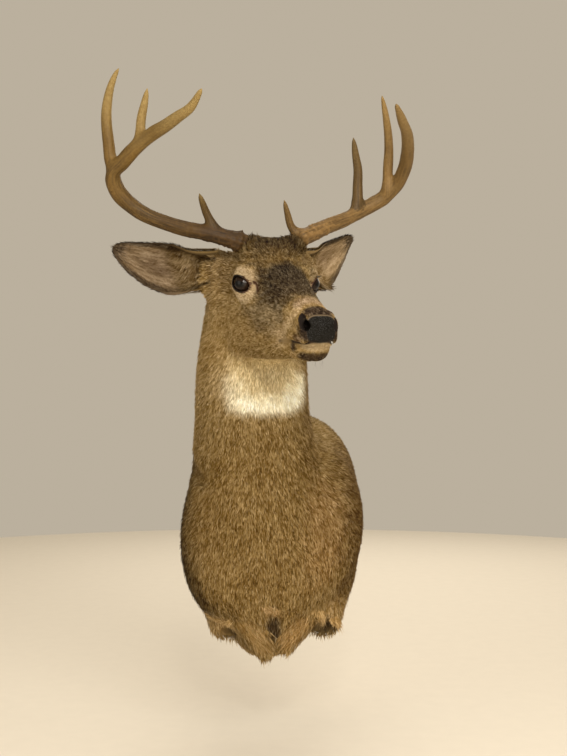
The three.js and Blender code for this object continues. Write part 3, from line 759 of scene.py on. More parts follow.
def paint(piece: Piece, colours: Array, name: str = "Marks") -> None:
    """Writes linear colours to the points of a piece.

    Args:
        piece: the mesh object.
        colours: red, green and blue for each point.
        name: the attribute's name.
    """
    layer = piece.data.color_attributes.new(name=name, type="FLOAT_COLOR", domain="POINT")
    rgba = np.ones((len(colours), 4), np.float32)
    rgba[:, :3] = colours
    layer.data.foreach_set("color", rgba.ravel())


def add_map(piece: Piece, places: Array) -> None:
    """Gives a piece the map named OFBake.

    Args:
        piece: the mesh object.
        places: u and v for each corner of its faces.
    """
    layer = piece.data.uv_layers.new(name="OFBake")
    layer.uv.foreach_set("vector", places.astype(np.float32).ravel())


def shifted(colour: Array, steps: Array) -> Array:
    """Linear colours made lighter or darker by eight-bit steps of display value."""
    shown = np.clip(colour, 0, 1) ** (1 / 2.2) + steps / 255
    return np.clip(shown, 0.01, 0.985) ** 2.2


def linear(colour: Sequence[float]) -> Array:
    """Linear light of a colour given as eight-bit steps."""
    c = np.asarray(colour, float) / 255
    return np.where(c <= 0.04045, c / 12.92, ((c + 0.055) / 1.055) ** 2.4)


# --- Ears ---

class Side(Enum):
    """The deer's own sides, with the sign of a in the head frame."""

    RIGHT = -1
    LEFT = 1


@dataclass(frozen=True)
class EarMarkings:
    """Colours of an ear: back, cup, rim and tip."""

    back: Colour = (92, 72, 42)
    cup: Colour = (124, 105, 80)
    # painted shade down the hollow of the cup
    cup_shade: Colour = (90, 72, 52)
    rim: Colour = (44, 32, 18)
    root: Colour = (96, 77, 45)
    nape: Colour = (136, 112, 69)

    def at(self, s: Array, t: Array, front: Array) -> Array:
        """Linear colours of the ear.

        Args:
            s: how far along it.
            t: how far across it.
            front: 1 in the cup and 0 on the back.

        Returns:
            Red, green and blue for each place.
        """
        def mix(a: Array, b: Sequence[int], share: Array) -> Array:
            """Colour a with a share of colour b."""
            return a * (1 - share[:, None]) + linear(b) * share[:, None]

        colour = mix(np.tile(linear(self.back), (len(s), 1)), self.nape, 1 - ramp(s, 0.08, 0.5))
        colour = mix(colour, self.cup, front)
        # painted shade: darker down the middle of the cup, towards the root
        colour = mix(colour, self.cup_shade, 0.75 * front * bump(t, 0.12, 0.45) * (1 - ramp(s, 0.5, 0.95)))
        colour = mix(colour, self.root, 0.9 * front * (1 - ramp(s + 0.12 * t, 0.38, 0.56)))
        ragged = 0.06 * NOISE.at(np.stack([s * 30, t * 30, front * 9], -1), 1.5)
        edge = np.maximum(ramp(np.abs(t) + ragged, 0.7, 0.92) * ramp(s, 0.25, 0.6),
                          ramp(s + ragged, 0.84, 0.95))
        return mix(colour, self.rim, 0.85 * edge)


@dataclass(frozen=True)
class Ear:
    """A cupped ear: its middle line, which way the cup faces and the profile along it."""

    side: Side
    bow: Point
    tip: Point
    face: Point
    marks: EarMarkings = EarMarkings()
    lobe: float = 0.06  # how far a lobe on the lower edge stands out
    base: Point = (62, -88, 14)
    profile: tuple = (  # along, half width on the curve, half angle, thickness
        (0, 27, 98, 14), (0.15, 33, 92, 13), (0.3, 39, 76, 8), (0.45, 45, 60, 6),
        (0.6, 42, 50, 5), (0.75, 33, 42, 4.5), (0.88, 22, 34, 4), (0.96, 13, 26, 3.5), (1, 5, 20, 3),
    )
    rows: int = 96
    columns: int = 40
    rim_in: float = 0.965  # the skin stops this far across, under the hair of the rim
    tip_in: float = 0.985
    front_depth: float = 0.7  # how far the skin lies under the hair of the cup
    back_depth: float = 1.5
    ridges: tuple = ((-0.42, 0.07), (0.0, 0.09), (0.45, 0.08))  # across, width
    ridge_height: float = 1.3

    def mirrored_point(self, p: Sequence[float]) -> Array:
        """A place given for the left side, on this ear's side."""
        return vec(p[0] * self.side.value, p[1], p[2])

    def line(self, s: Array) -> Array:
        """Places along the middle line."""
        p0, p1, p2 = (self.mirrored_point(p) for p in (self.base, self.bow, self.tip))
        s = np.asarray(s, float)[..., None]
        return p0 * (1 - s) ** 2 + 2 * p1 * s * (1 - s) + p2 * s * s

    def place(self, s: Array, t: Array, lift: Array) -> Array:
        """Places on the ear.

        Args:
            s: how far along it, 0 at the root.
            t: how far across it, from -1 to 1.
            lift: distance behind the face of the cup.

        Returns:
            Places in the row frame.
        """
        tangent = unit(self.line(s + 0.01) - self.line(s - 0.01))
        raw = self.mirrored_point(self.face)
        face = unit(raw - tangent * (tangent @ raw)[..., None])
        across = np.cross(tangent, face)
        half = np.radians(table_value(self.profile, s, 2))
        radius = table_value(self.profile, s, 1) / half
        angle = half * t
        reach = radius + lift
        offset = across * (reach * np.sin(angle))[..., None]
        depth = radius * 2 / 3 - reach * np.cos(angle)
        return HEAD.leave(self.line(s) + offset + face * depth[..., None])

    def surface(self) -> Surface:
        """The ear's skin: a closed leaf with gristle ridges in the cup and a waved rim."""
        s = np.linspace(0, self.tip_in, self.rows)
        turn = np.linspace(0, 2 * np.pi, 2 * self.columns, endpoint=False)
        s, turn = np.meshgrid(s, turn, indexing="ij")
        wave = 1 + 0.012 * np.sin(31 * s) + 0.01 * np.sin(53 * s + 1)
        wave += self.lobe * bump(s, 0.42, 0.1) * (np.cos(turn) * self.side.value < 0)
        t = np.cos(turn) * self.rim_in * np.where(s > 0.2, wave, 1)
        thick = table_value(self.profile, s, 3)
        middle = (self.front_depth + thick - self.back_depth) / 2
        half = (thick - self.front_depth - self.back_depth) / 2
        lift = middle + half * np.sign(np.sin(turn)) * np.abs(np.sin(turn)) ** 0.5
        front = np.sin(turn) < 0
        ridge = sum(bump(t, at, width) for at, width in self.ridges)
        ridge = ridge * ramp(s, 0.1, 0.25) * ramp(1 - s, 0.25, 0.6) * self.ridge_height
        return ring_surface(self.place(s, t, lift - np.where(front, ridge, 0)))


EARS = (
    Ear(Side.RIGHT, bow=(142, -108, -15), tip=(222, -160, 30), face=(0.3, 0.95, 0.02)),
    # painted light: the left ear is given paler colours in its cup and at its root than the right ear
    Ear(Side.LEFT, bow=(136, -122, -12), tip=(205, -176, 50), face=(0.8, 0.58, 0.1),
        marks=EarMarkings(cup=(156, 134, 102), cup_shade=(124, 102, 74), root=(124, 102, 66)), lobe=0.0),
)


# --- Markings and lie of the coat ---

class Frame(Enum):
    """The frame in which a place on the hide is given."""

    ROW = "row"
    HEAD = "head"  # mirrored onto the deer's left side


@dataclass(frozen=True)
class Patch:
    """An oval marking with a soft, uneven edge."""

    at: Point
    radii: Point
    colour: Colour
    strength: float = 1.0
    soft: float = 0.35
    frame: Frame = Frame.HEAD
    square: float = 2.0  # 2 for an oval, more for a squarer patch

    def weight(self, row: Array, head: Array, wobble: Array) -> Array:
        """Share of the marking's colour at each place.

        Args:
            row: places in the row frame.
            head: the same in the head frame, mirrored.
            wobble: unevenness of the edge.

        Returns:
            Shares from 0 to 1.
        """
        p = row if self.frame is Frame.ROW else head
        k = (np.abs((p - vec(*self.at)) / vec(*self.radii)) ** self.square).sum(-1) ** (1 / self.square)
        return self.strength * (1 - ramp(k + wobble * self.soft, 1 - self.soft, 1 + self.soft))


@dataclass(frozen=True)
class Stripe:
    """A marking along a line of the head frame, with a soft, uneven edge."""

    points: tuple
    width: float
    colour: Colour
    strength: float = 1.0
    soft: float = 0.5

    def weight(self, row: Array, head: Array, wobble: Array) -> Array:
        """Share of the marking's colour at each place, as for a patch."""
        k = line_distance(head, self.points) / self.width
        return self.strength * (1 - ramp(k + wobble * self.soft, 1 - self.soft, 1 + self.soft))


@dataclass(frozen=True)
class Markings:
    """The colours of hide and coat, laid over each other in this order; some patches are painted shade and
    painted light.
    """

    coat: Colour = (149, 123, 76)
    grey: Colour = (128, 109, 72)
    patches: tuple = (
        Patch((0, -20, -60), (260, 70, 330), (74, 56, 24), 0.85, 0.6, Frame.ROW),  # by the wall: painted shade, darker where the body turns back towards the wall
        Patch((-4, -330, 10), (200, 190, 200), (120, 95, 50), 0.95, 0.35, Frame.ROW),  # breast
        # partly paler hair, partly painted light where the left shoulder bulges towards the light
        Patch((86, -268, 20), (36, 50, 84), (142, 112, 68), 0.7, 0.6, Frame.ROW),
        # partly painted shade: the left flank is darker, for darker hair and for the shade of the side
        # turning away
        Patch((165, -150, 40), (64, 130, 220), (72, 48, 6), 0.9, 0.45, Frame.ROW),
        Patch((62, -240, 250), (20, 70, 120), (96, 73, 34), 0.75, 0.6, Frame.ROW),  # side of the neck: darker hair, partly painted shade at the edge turning away
        # partly painted shade: the right flank is darkest, for darker hair and for the shade of the side
        # turning away
        Patch((-156, -150, -30), (58, 120, 210), (42, 27, 3), 0.92, 0.5, Frame.ROW),
        # partly painted shade: darker low on the right side, where it turns away from the light
        Patch((-120, -150, -110), (60, 100, 70), (52, 36, 8), 0.85, 0.6, Frame.ROW),
        Patch((-112, -262, 98), (15, 30, 3.5), (62, 46, 22), 0.7, 0.5, Frame.ROW),  # painted shade in the crease between neck and shoulder
        # partly paler hair, partly painted light where the right shoulder bulges towards the light
        Patch((-104, -255, 30), (36, 60, 70), (136, 109, 63), 0.5, 0.7, Frame.ROW),
        Patch((-8, -350, 257), (64, 120, 36), (255, 248, 220), 1.0, 0.17, Frame.ROW, 3.2),  # throat
        Patch((-72, -330, 260), (24, 50, 36), (156, 134, 94), 0.6, 0.8, Frame.ROW),
        Patch((-28, -225, -168), (34, 50, 42), (118, 95, 56), 0.75, 0.5, Frame.ROW),
        Patch((46, -200, -150), (30, 50, 40), (120, 95, 56), 0.75, 0.5, Frame.ROW),
        # painted shade in the notch between the lobes of the brisket
        Patch((6, -250, -152), (13, 40, 44), (50, 36, 18), 0.9, 0.5, Frame.ROW),
        Patch((-86, -194, -146), (30, 40, 28), (182, 153, 104), 0.85, 0.5, Frame.ROW),
        Patch((108, -180, -128), (26, 40, 24), (152, 124, 78), 0.7, 0.6, Frame.ROW),
        Patch((-68, -194, -162), (13, 38, 14), (36, 24, 10), 1.0, 0.35, Frame.ROW),  # painted shade in the hollow ends of the stubs
        Patch((88, -193, -156), (26, 38, 22), (36, 24, 10), 1.0, 0.25, Frame.ROW),
        Patch((0, 60, -147), (66, 190, 46), (208, 186, 138), 0.9, 0.3),  # under the jaw
        Patch((34, 60, -96), (30, 100, 19), (120, 98, 56), 0.9, 0.5),  # side of the jaw
        Patch((66, -66, 8), (34, 46, 52), (100, 80, 48), 0.85, 0.6),  # before the ear
        Patch((40, 10, -50), (40, 60, 60), (124, 101, 60), 0.85, 0.6),  # cheek
        Patch((40, 74, -28), (32, 60, 32), (108, 93, 67), 0.85, 0.7),  # grey before the cheek
        Patch((0, 0, 45), (66, 62, 34), (92, 72, 35), 0.9, 0.5),  # forehead
        Patch((0, -40, 60), (64, 42, 28), (40, 26, 3), 0.92, 0.5),  # crown
        Patch((16, 18, 40), (26, 10, 20), (146, 116, 60), 0.6, 0.8),  # streak over the brow
        Patch((0, 58, 14), (50, 54, 36), (36, 26, 12), 0.95, 0.5, Frame.HEAD, 3.0),  # dark bridge
        Patch((4, 92, 2), (38, 36, 24), (58, 45, 26), 0.85, 0.6),
        Patch((2, 134, -6), (20, 13, 12), (128, 106, 80), 0.8, 0.6),  # behind the pad
        Stripe(((6, 134, -3), (17, 142, -9), (23, 146, -16)), 8.0, (140, 118, 90), 0.9, 0.5),  # muzzle
        Stripe(((24, 146, -18), (28, 140, -28), (29, 131, -38), (28, 115, -52), (31, 97, -65)),
               8.0, (180, 157, 119), 0.95, 0.45),
        Patch((29, 106, -63), (10, 22, 15), (152, 130, 94), 0.75, 0.6),  # corner of the mouth
        Patch((0, 169, -11), (27, 15, 13), (50, 36, 22), 0.98, 0.3),  # over the pad
        Patch((0, 184, -36), (38, 23, 22), (38, 25, 12), 0.98, 0.2),  # round the nostrils
        Patch((27, 168, -50), (9, 12, 6), (84, 64, 44), 0.8, 0.5),  # edge of the lip
        Stripe(((26, 160, -57), (27.3, 135, -61.6), (27.6, 119, -64.3), (28.7, 99, -68.4)), 2.0,
               (48, 33, 20), 0.9, 0.4),  # corner of the lips
        Patch((0, 176, -60), (27, 19, 7.5), (152, 133, 100), 1.0, 0.3),  # lower lip
        Patch((30, 152, -66), (9, 13, 8), (50, 34, 18), 0.95, 0.45),  # dark band of the lip
        Patch((0, 172, -77), (32, 18, 9), (48, 34, 18), 0.95, 0.4),
    )
    edge_scale: float = 14.0
    ring: Colour = (168, 148, 116)
    ring_widths: tuple = ((-180, 6), (-135, 12), (-90, 16), (-45, 19), (-5, 12), (45, 20), (90, 14),
                          (135, 10), (180, 6))  # angle, width
    eye: EyeForm = EyeForm()
    tear: Stripe = Stripe(((43.5, 25, 3.5), (42, 28.8, -2.6), (41.7, 34, -9.9)), 2.4, (74, 47, 29),
                          0.9, 0.4)

    def eye_ring(self, head: Array, wobble: Array) -> Array:
        """Share of the pale ring round the eye at places of the head frame, mirrored."""
        local = self.eye.local(head)
        angle = np.degrees(np.arctan2(local[:, 1], local[:, 0]))
        width = np.interp(angle, *np.array(self.ring_widths).T)
        away = self.eye.opening(local) + 1.2 * wobble
        near = ramp(local[:, 2], -16, -4) * (np.linalg.norm(local, axis=-1) < 60)
        return 0.95 * near * (1 - ramp(away / width, 0.8, 1.2))

    def at(self, row: Array) -> Array:
        """Linear colours of the hide.

        Args:
            row: places in the row frame.

        Returns:
            Red, green and blue for each place.
        """
        head = mirrored(HEAD.enter(row))
        wobble = NOISE.at(row, self.edge_scale) * 0.4 + NOISE.at(row + 91, 5.0) * 0.4
        mix = 0.5 + 0.5 * NOISE.at(row + 37, 60.0)
        colour = linear(self.coat) * (1 - 0.35 * mix[:, None]) + linear(self.grey) * 0.35 * mix[:, None]
        for patch in self.patches:
            share = np.clip(patch.weight(row, head, wobble), 0, 1)[:, None]
            colour = colour * (1 - share) + linear(patch.colour) * share
        ring = self.eye_ring(head, wobble)
        above = ramp(self.eye.local(head)[:, 1], -2, 8)
        ring *= 1 - 0.7 * above * ramp(HEAD.enter(row)[:, 0], -5, 5)  # painted shade: the ring is browner over the left eye, on the side in shade
        colour = colour * (1 - ring[:, None]) + linear(self.ring) * ring[:, None]
        tear = self.tear.weight(row, head, wobble)[:, None]
        return colour * (1 - tear) + linear(self.tear.colour) * tear


@dataclass(frozen=True)
class LieMark:
    """A place on the hide and the way its hair lies there."""

    at: Point
    way: Point
    frame: Frame = Frame.HEAD


@dataclass(frozen=True)
class Lie:
    """The lie of the coat, blended between marks."""

    marks: tuple = (
        LieMark((0, 186, -20), (0.05, -1, 0.3)),
        LieMark((28, 165, -35), (0.3, -1, 0.0)),
        LieMark((0, 120, 5), (0.1, -1, 0.1)),
        LieMark((34, 100, -40), (0.15, -1, -0.25)),
        LieMark((0, 60, 22), (0.15, -1, 0.3)),
        LieMark((45, 60, -20), (0.2, -1, -0.1)),
        LieMark((58, 12, 24), (0.35, -1, 0.45)),
        LieMark((60, 8, -24), (0.25, -1, -0.45)),
        LieMark((0, 10, 44), (0.1, -1, 0.35)),
        LieMark((30, -20, 55), (0.3, -0.9, 0.2)),
        LieMark((0, -70, 45), (0, -1, -0.2)),
        LieMark((62, -30, 0), (0.2, -1, -0.25)),
        LieMark((60, -90, 20), (0.6, -0.8, 0.1)),
        LieMark((52, -20, -60), (0.05, -0.75, -0.9)),
        LieMark((30, 90, -75), (0, -1, -0.3)),
        LieMark((0, 150, -80), (0, -1, -0.1)),
        LieMark((0, 40, -105), (0, -1, -0.1)),
        LieMark((60, -90, -60), (0.1, -0.5, -1)),
        LieMark((-20, -330, 290), (0, 0.1, -1), Frame.ROW),
        LieMark((-20, -330, 200), (0.02, 0.1, -1), Frame.ROW),
        LieMark((-20, -335, 100), (0.0, 0.15, -1), Frame.ROW),
        LieMark((-10, -130, 330), (0, 0.3, -1), Frame.ROW),
        LieMark((-115, -210, 200), (-0.05, 0.35, -1), Frame.ROW),
        LieMark((70, -210, 200), (0.1, 0.35, -1), Frame.ROW),
        LieMark((5, -60, 190), (0, 0.9, -0.4), Frame.ROW),
        LieMark((130, -200, 60), (0.35, 0.6, -1), Frame.ROW),
        LieMark((-140, -200, 60), (-0.25, 0.6, -1), Frame.ROW),
        LieMark((60, -300, -10), (0.25, 0.1, -1), Frame.ROW),
        LieMark((-70, -300, -10), (-0.2, 0.1, -1), Frame.ROW),
        LieMark((0, -290, -60), (0, 0.1, -1), Frame.ROW),
        LieMark((140, -60, -20), (0.1, 0.9, -0.9), Frame.ROW),
        LieMark((-140, -60, -20), (-0.1, 0.9, -0.9), Frame.ROW),
        LieMark((60, -240, -120), (-0.35, 0.1, -1), Frame.ROW),
        LieMark((-60, -240, -120), (0.35, 0.1, -1), Frame.ROW),
        LieMark((0, -200, -200), (0, 0.3, -1), Frame.ROW),
        LieMark((0, -60, -190), (0, 1, -0.4), Frame.ROW),
    )
    reach: float = 45.0

    def at(self, row: Array, normals: Array) -> Array:
        """Unit directions along the skin.

        Args:
            row: places in the row frame.
            normals: the skin's normals there.

        Returns:
            The way the hair lies.
        """
        axes = HEAD.axes()
        head = HEAD.enter(row)
        total = np.zeros_like(row)
        for mark in self.marks:
            way = unit(vec(*mark.way))
            if mark.frame is Frame.ROW:
                offset = row - vec(*mark.at)
                ways = np.broadcast_to(way, row.shape)
            else:
                offset = mirrored(head) - vec(*mark.at)
                side = np.where(head[:, :1] < 0, -1.0, 1.0)
                ways = np.concatenate([way[0] * side, np.tile(way[1:], (len(row), 1))], -1) @ axes
            weight = 1 / ((offset**2).sum(-1) + self.reach**2) ** 2
            total += ways * weight[:, None]
        total -= normals * (total * normals).sum(-1, keepdims=True)
        return unit(total)


# --- Unwrap ---

class Region(Enum):
    """The parts of the skin that are unwrapped apart from each other."""

    BODY = 0
    HEAD = 1
    EAR_RIGHT = 2
    EAR_LEFT = 3


@dataclass(frozen=True)
class Unwrap:
    """Charts of the skin: six faces of a box for body and head, front and back for each ear."""

    body_low: tuple = (-200, -440, -250)
    body_high: tuple = (200, 10, 480)
    head_low: tuple = (-110, -150, -160)
    head_high: tuple = (110, 200, 80)
    body_rooms: tuple = ((0.5, 0, 0.25, 0.5), (0.75, 0, 0.25, 0.5), (0.25, 0, 0.25, 0.5),
                         (0, 0, 0.25, 0.5), (0, 0.5, 0.25, 0.25), (0.25, 0.5, 0.25, 0.25))
    margin: float = 0.05

    def room(self, region: Region, index: int) -> tuple[float, float, float, float]:
        """Corner and size of a chart's rectangle."""
        if region is Region.BODY:
            return self.body_rooms[index]
        if region is Region.HEAD:
            return 0.5 + (index % 3) / 6, 0.5 + index // 3 / 4, 1 / 6, 0.25
        column = index + 2 * (region is Region.EAR_LEFT)
        return column / 8, 0.75, 1 / 8, 0.25

    def fit(self, region: Region, index: Array, share: Array) -> Array:
        """Puts shares of a chart's width and height into its rectangle.

        Args:
            region: the part of the skin.
            index: the chart of each place.
            share: places within the chart, from 0 to 1.

        Returns:
            Places on the map.
        """
        rooms = np.array([self.room(region, i) for i in range(6 if region.value < 2 else 2)])[index]
        inner = self.margin + (1 - 2 * self.margin) * np.clip(share, 0, 1)
        return rooms[:, :2] + inner * rooms[:, 2:]

    def box(self, region: Region, points: Array, normals: Array) -> Array:
        """Places on the map for the body or the head.

        Args:
            region: body or head.
            points: places in the row frame.
            normals: the skin's normals, which choose the chart.

        Returns:
            Places on the map.
        """
        low, high = vec(*self.body_low), vec(*self.body_high)
        if region is Region.HEAD:
            points, normals = HEAD.enter(points), normals @ HEAD.axes().T
            low, high = vec(*self.head_low), vec(*self.head_high)
        axis = np.argmax(np.abs(normals), axis=1)
        rows = np.arange(len(points))
        index = 2 * axis + (normals[rows, axis] < 0)
        share = (points - low) / (high - low)
        across = np.where(axis == 0, 1, 0)
        up = np.where(axis == 2, 1, 2)
        return self.fit(region, index, np.stack([share[rows, across], share[rows, up]], -1))

    def ear(self, region: Region, s: Array, t: Array, front: Array) -> Array:
        """Places on the map for an ear."""
        return self.fit(region, (front > 0.5).astype(int), np.stack([t / 2 + 0.5, s], -1))


UNWRAP = Unwrap()


# --- Finishes ---

class Shader:
    """A material's node tree, with short calls for its nodes."""

    def __init__(self, name: str) -> None:
        """Makes an empty material with a principled shader."""
        self.material = bpy.data.materials.new(name)
        self.material.use_nodes = True
        self.tree = self.material.node_tree
        self.surface = self.tree.nodes["Principled BSDF"]

    def node(self, kind: str, **values: object) -> bpy.types.Node:
        """A new node; values set its inputs, or its properties where it has no such input."""
        made = self.tree.nodes.new(kind)
        for key, value in values.items():
            if hasattr(made, key):
                setattr(made, key, value)
            else:
                made.inputs[key.replace("_", " ")].default_value = value
        return made

    def link(self, start: Socket, end: Socket) -> None:
        """Joins two sockets."""
        self.tree.links.new(start, end)

    def set(self, **values: object) -> None:
        """Sets inputs of the principled shader; underscores stand for spaces."""
        for key, value in values.items():
            self.surface.inputs[key.replace("_", " ")].default_value = value

    def attribute(self, name: str) -> bpy.types.Node:
        """A colour attribute of the mesh."""
        return self.node("ShaderNodeAttribute", attribute_name=name)

    def position(self, scale: Sequence[float]) -> Socket:
        """Places of the surface in the row frame, scaled."""
        place = self.node("ShaderNodeTexCoord")
        mapping = self.node("ShaderNodeMapping", Scale=scale)
        self.link(place.outputs["Object"], mapping.inputs["Vector"])
        return mapping.outputs["Vector"]

    def noise(self, scale: float, detail: float = 3, stretch: Sequence[float] = (1, 1, 1)
              ) -> Socket:
        """Noise over the surface; scale is in bumps for each metre."""
        made = self.node("ShaderNodeTexNoise", Scale=scale, Detail=detail)
        self.link(self.position(stretch), made.inputs["Vector"])
        return made.outputs["Fac"]

    def span(self, value: Socket, low: float, high: float, start: float, end: float
             ) -> Socket:
        """Moves values between low and high to between start and end."""
        made = self.node("ShaderNodeMapRange", From_Min=low, From_Max=high, To_Min=start, To_Max=end)
        self.link(value, made.inputs["Value"])
        return made.outputs["Result"]

    def mix(self, blend: str, a: object, b: object, share: object) -> Socket:
        """Mixes two colours, each a socket or a colour, by a share that is a socket or a number."""
        made = self.node("ShaderNodeMix", data_type="RGBA", blend_type=blend)
        for index, value in ((6, a), (7, b), (0, share)):
            if isinstance(value, Socket):
                self.link(value, made.inputs[index])
            else:
                made.inputs[index].default_value = value
        return made.outputs[2]

    def tinted(self, base: object, tint: Sequence[float], share: object) -> None:
        """Gives the surface a base colour, multiplied by a tint where share says so."""
        shade = self.mix("MULTIPLY", base, (*tint, 1), share)
        self.link(shade, self.surface.inputs["Base Color"])

    def bumps(self, height: Socket, depth: float, strength: float = 1.0) -> None:
        """Roughens the surface by a height; depth is in metres."""
        made = self.node("ShaderNodeBump", Strength=strength, Distance=depth)
        self.link(height, made.inputs["Height"])
        self.link(made.outputs["Normal"], self.surface.inputs["Normal"])

    def times(self, a: Socket, b: object) -> Socket:
        """Product of a socket and a socket or a number."""
        made = self.node("ShaderNodeMath", operation="MULTIPLY")
        self.link(a, made.inputs[0])
        if isinstance(b, Socket):
            self.link(b, made.inputs[1])
        else:
            made.inputs[1].default_value = b
        return made.outputs[0]


@dataclass(frozen=True)
class HideFinish:
    """Skin under the coat: dull over most of it, moist and pebbled at the nose pad and lids."""

    name: str = "hide"
    dry: float = 0.85
    moist: float = 0.28
    pebble: float = 620.0  # pebbles for each metre

    def material(self) -> Material:
        """Builds the material."""
        s = Shader(self.name)
        marks, finish = s.attribute("Marks"), s.attribute("Finish")
        parts = s.node("ShaderNodeSeparateColor")
        s.link(finish.outputs["Color"], parts.inputs["Color"])
        wet = parts.outputs["Red"]
        grain = s.noise(900, 2)
        s.tinted(marks.outputs["Color"], (0.72, 0.7, 0.68), grain)
        s.link(s.span(wet, 0, 1, self.dry, self.moist), s.surface.inputs["Roughness"])
        s.set(Specular_IOR_Level=0.17)
        cells = s.node("ShaderNodeTexVoronoi", Scale=self.pebble, feature="SMOOTH_F1")
        s.link(s.position((1, 1, 1)), cells.inputs["Vector"])
        s.bumps(s.times(cells.outputs["Distance"], wet), -0.0018, 1.0)
        return s.material


@dataclass(frozen=True)
class CoatFinish:
    """Hair: dull, with a little sheen, coloured lock by lock."""

    name: str
    roughness: float = 0.62
    specular: float = 0.1

    def material(self) -> Material:
        """Builds the material."""
        s = Shader(self.name)
        marks = s.attribute("Marks")
        grain = s.noise(1400, 1)
        s.tinted(marks.outputs["Color"], (0.78, 0.76, 0.74), grain)
        s.set(Roughness=self.roughness, Specular_IOR_Level=self.specular)
        return s.material


@dataclass(frozen=True)
class AntlerFinish:
    """Bone: dull, with fine stains over its painted colours."""

    name: str = "antler"

    def material(self) -> Material:
        """Builds the material."""
        s = Shader(self.name)
        marks = s.attribute("Marks")
        stain = s.span(s.noise(260, 5), 0.3, 0.7, 0.0, 1.0)
        s.tinted(marks.outputs["Color"], (0.74, 0.68, 0.6), stain)
        s.link(s.span(s.noise(500, 3), 0.3, 0.7, 0.5, 0.7), s.surface.inputs["Roughness"])
        s.set(Specular_IOR_Level=0.22)
        s.bumps(s.noise(900, 3), 0.0003, 0.4)
        return s.material


@dataclass(frozen=True)
class GlassEyeFinish:
    """Polished glass with the iris and pupil painted on it."""

    name: str = "glass_eye"

    def material(self) -> Material:
        """Builds the material."""
        s = Shader(self.name)
        marks = s.attribute("Marks")
        fleck = s.noise(1800, 2)
        s.tinted(marks.outputs["Color"], (0.6, 0.55, 0.5), fleck)
        s.set(Roughness=0.04, Specular_IOR_Level=0.22)
        return s.material


@dataclass(frozen=True)
class PlywoodFinish:
    """Plywood: long grain on the face and plies along the edge."""

    name: str = "plywood_face"
    pale: tuple = (196, 156, 104)
    dark: tuple = (148, 104, 60)
    ply: float = 0.003  # thickness of one ply in metres

    def material(self) -> Material:
        """Builds the material."""
        s = Shader(self.name)
        pale, dark = ((*linear(c), 1) for c in (self.pale, self.dark))
        grain = s.span(s.noise(60, 6, (1, 1, 0.06)), 0.35, 0.65, 0, 1)
        face = s.mix("MIX", pale, dark, grain)
        bands = s.node("ShaderNodeTexWave", Scale=1 / (2 * self.ply) / 10, bands_direction="Y")
        s.link(s.position((1, 1, 1)), bands.inputs["Vector"])
        plies = s.mix("MIX", pale, dark, bands.outputs["Fac"])
        shape = s.node("ShaderNodeNewGeometry")
        split = s.node("ShaderNodeSeparateXYZ")
        s.link(shape.outputs["Normal"], split.inputs["Vector"])
        flat = s.node("ShaderNodeMath", operation="ABSOLUTE")
        s.link(split.outputs["Y"], flat.inputs[0])
        share = s.span(flat.outputs[0], 0.5, 0.9, 0, 1)
        s.link(s.mix("MIX", plies, face, share), s.surface.inputs["Base Color"])
        s.set(Roughness=0.72, Specular_IOR_Level=0.3)
        s.bumps(s.noise(220, 4, (1, 1, 0.1)), 0.0005, 0.5)
        return s.material


@dataclass(frozen=True)
class PlainFinish:
    """One even finish, for the studio floor."""

    name: str
    colour: tuple
    roughness: float

    def material(self) -> Material:
        """Builds the material."""
        s = Shader(self.name)
        pale = (*linear(self.colour), 1)
        s.tinted(pale, (0.94, 0.94, 0.94), s.noise(30, 4))
        s.set(Roughness=self.roughness)
        return s.material


def tell(piece: Piece) -> None:
    """Logs a finished piece."""
    log.info("%s: %d faces", piece.name, len(piece.data.polygons))


def dress(piece: Piece, material: Material) -> None:
    """Gives a piece one material."""
    piece.data.materials.clear()
    piece.data.materials.append(material)


# --- The hide ---

@dataclass(frozen=True)
class NosePad:
    """The bare moist skin at the end of the muzzle, in the head frame."""

    middle: float = -34.5  # u
    half_width: float = 21.5
    half_height: float = 18.5
    squareness: float = 3.4
    back: float = 170  # f
    colour: tuple = (9, 6, 2)
    dry_colour: tuple = (32, 21, 13)
    # painted highlight along the pad's upper edge
    painted_highlight_colour: tuple = (108, 94, 74)

    def edge(self, q: Array) -> Array:
        """Distance outside the edge of the pad, seen from the front."""
        out = section_distance(q[:, 0], q[:, 2] - self.middle, self.half_width, self.half_height,
                               self.squareness)
        return np.maximum(out, self.back - q[:, 1])

    def share(self, q: Array) -> Array:
        """1 on the pad, falling to 0 outside it."""
        return 1 - ramp(self.edge(q), -0.6, 0.8)

    def rim(self, q: Array) -> Array:
        """1 on the pale upper edge of the pad, a painted highlight."""
        return bump(self.edge(q), 0.8, 0.7) * ramp(q[:, 2], -26, -20)


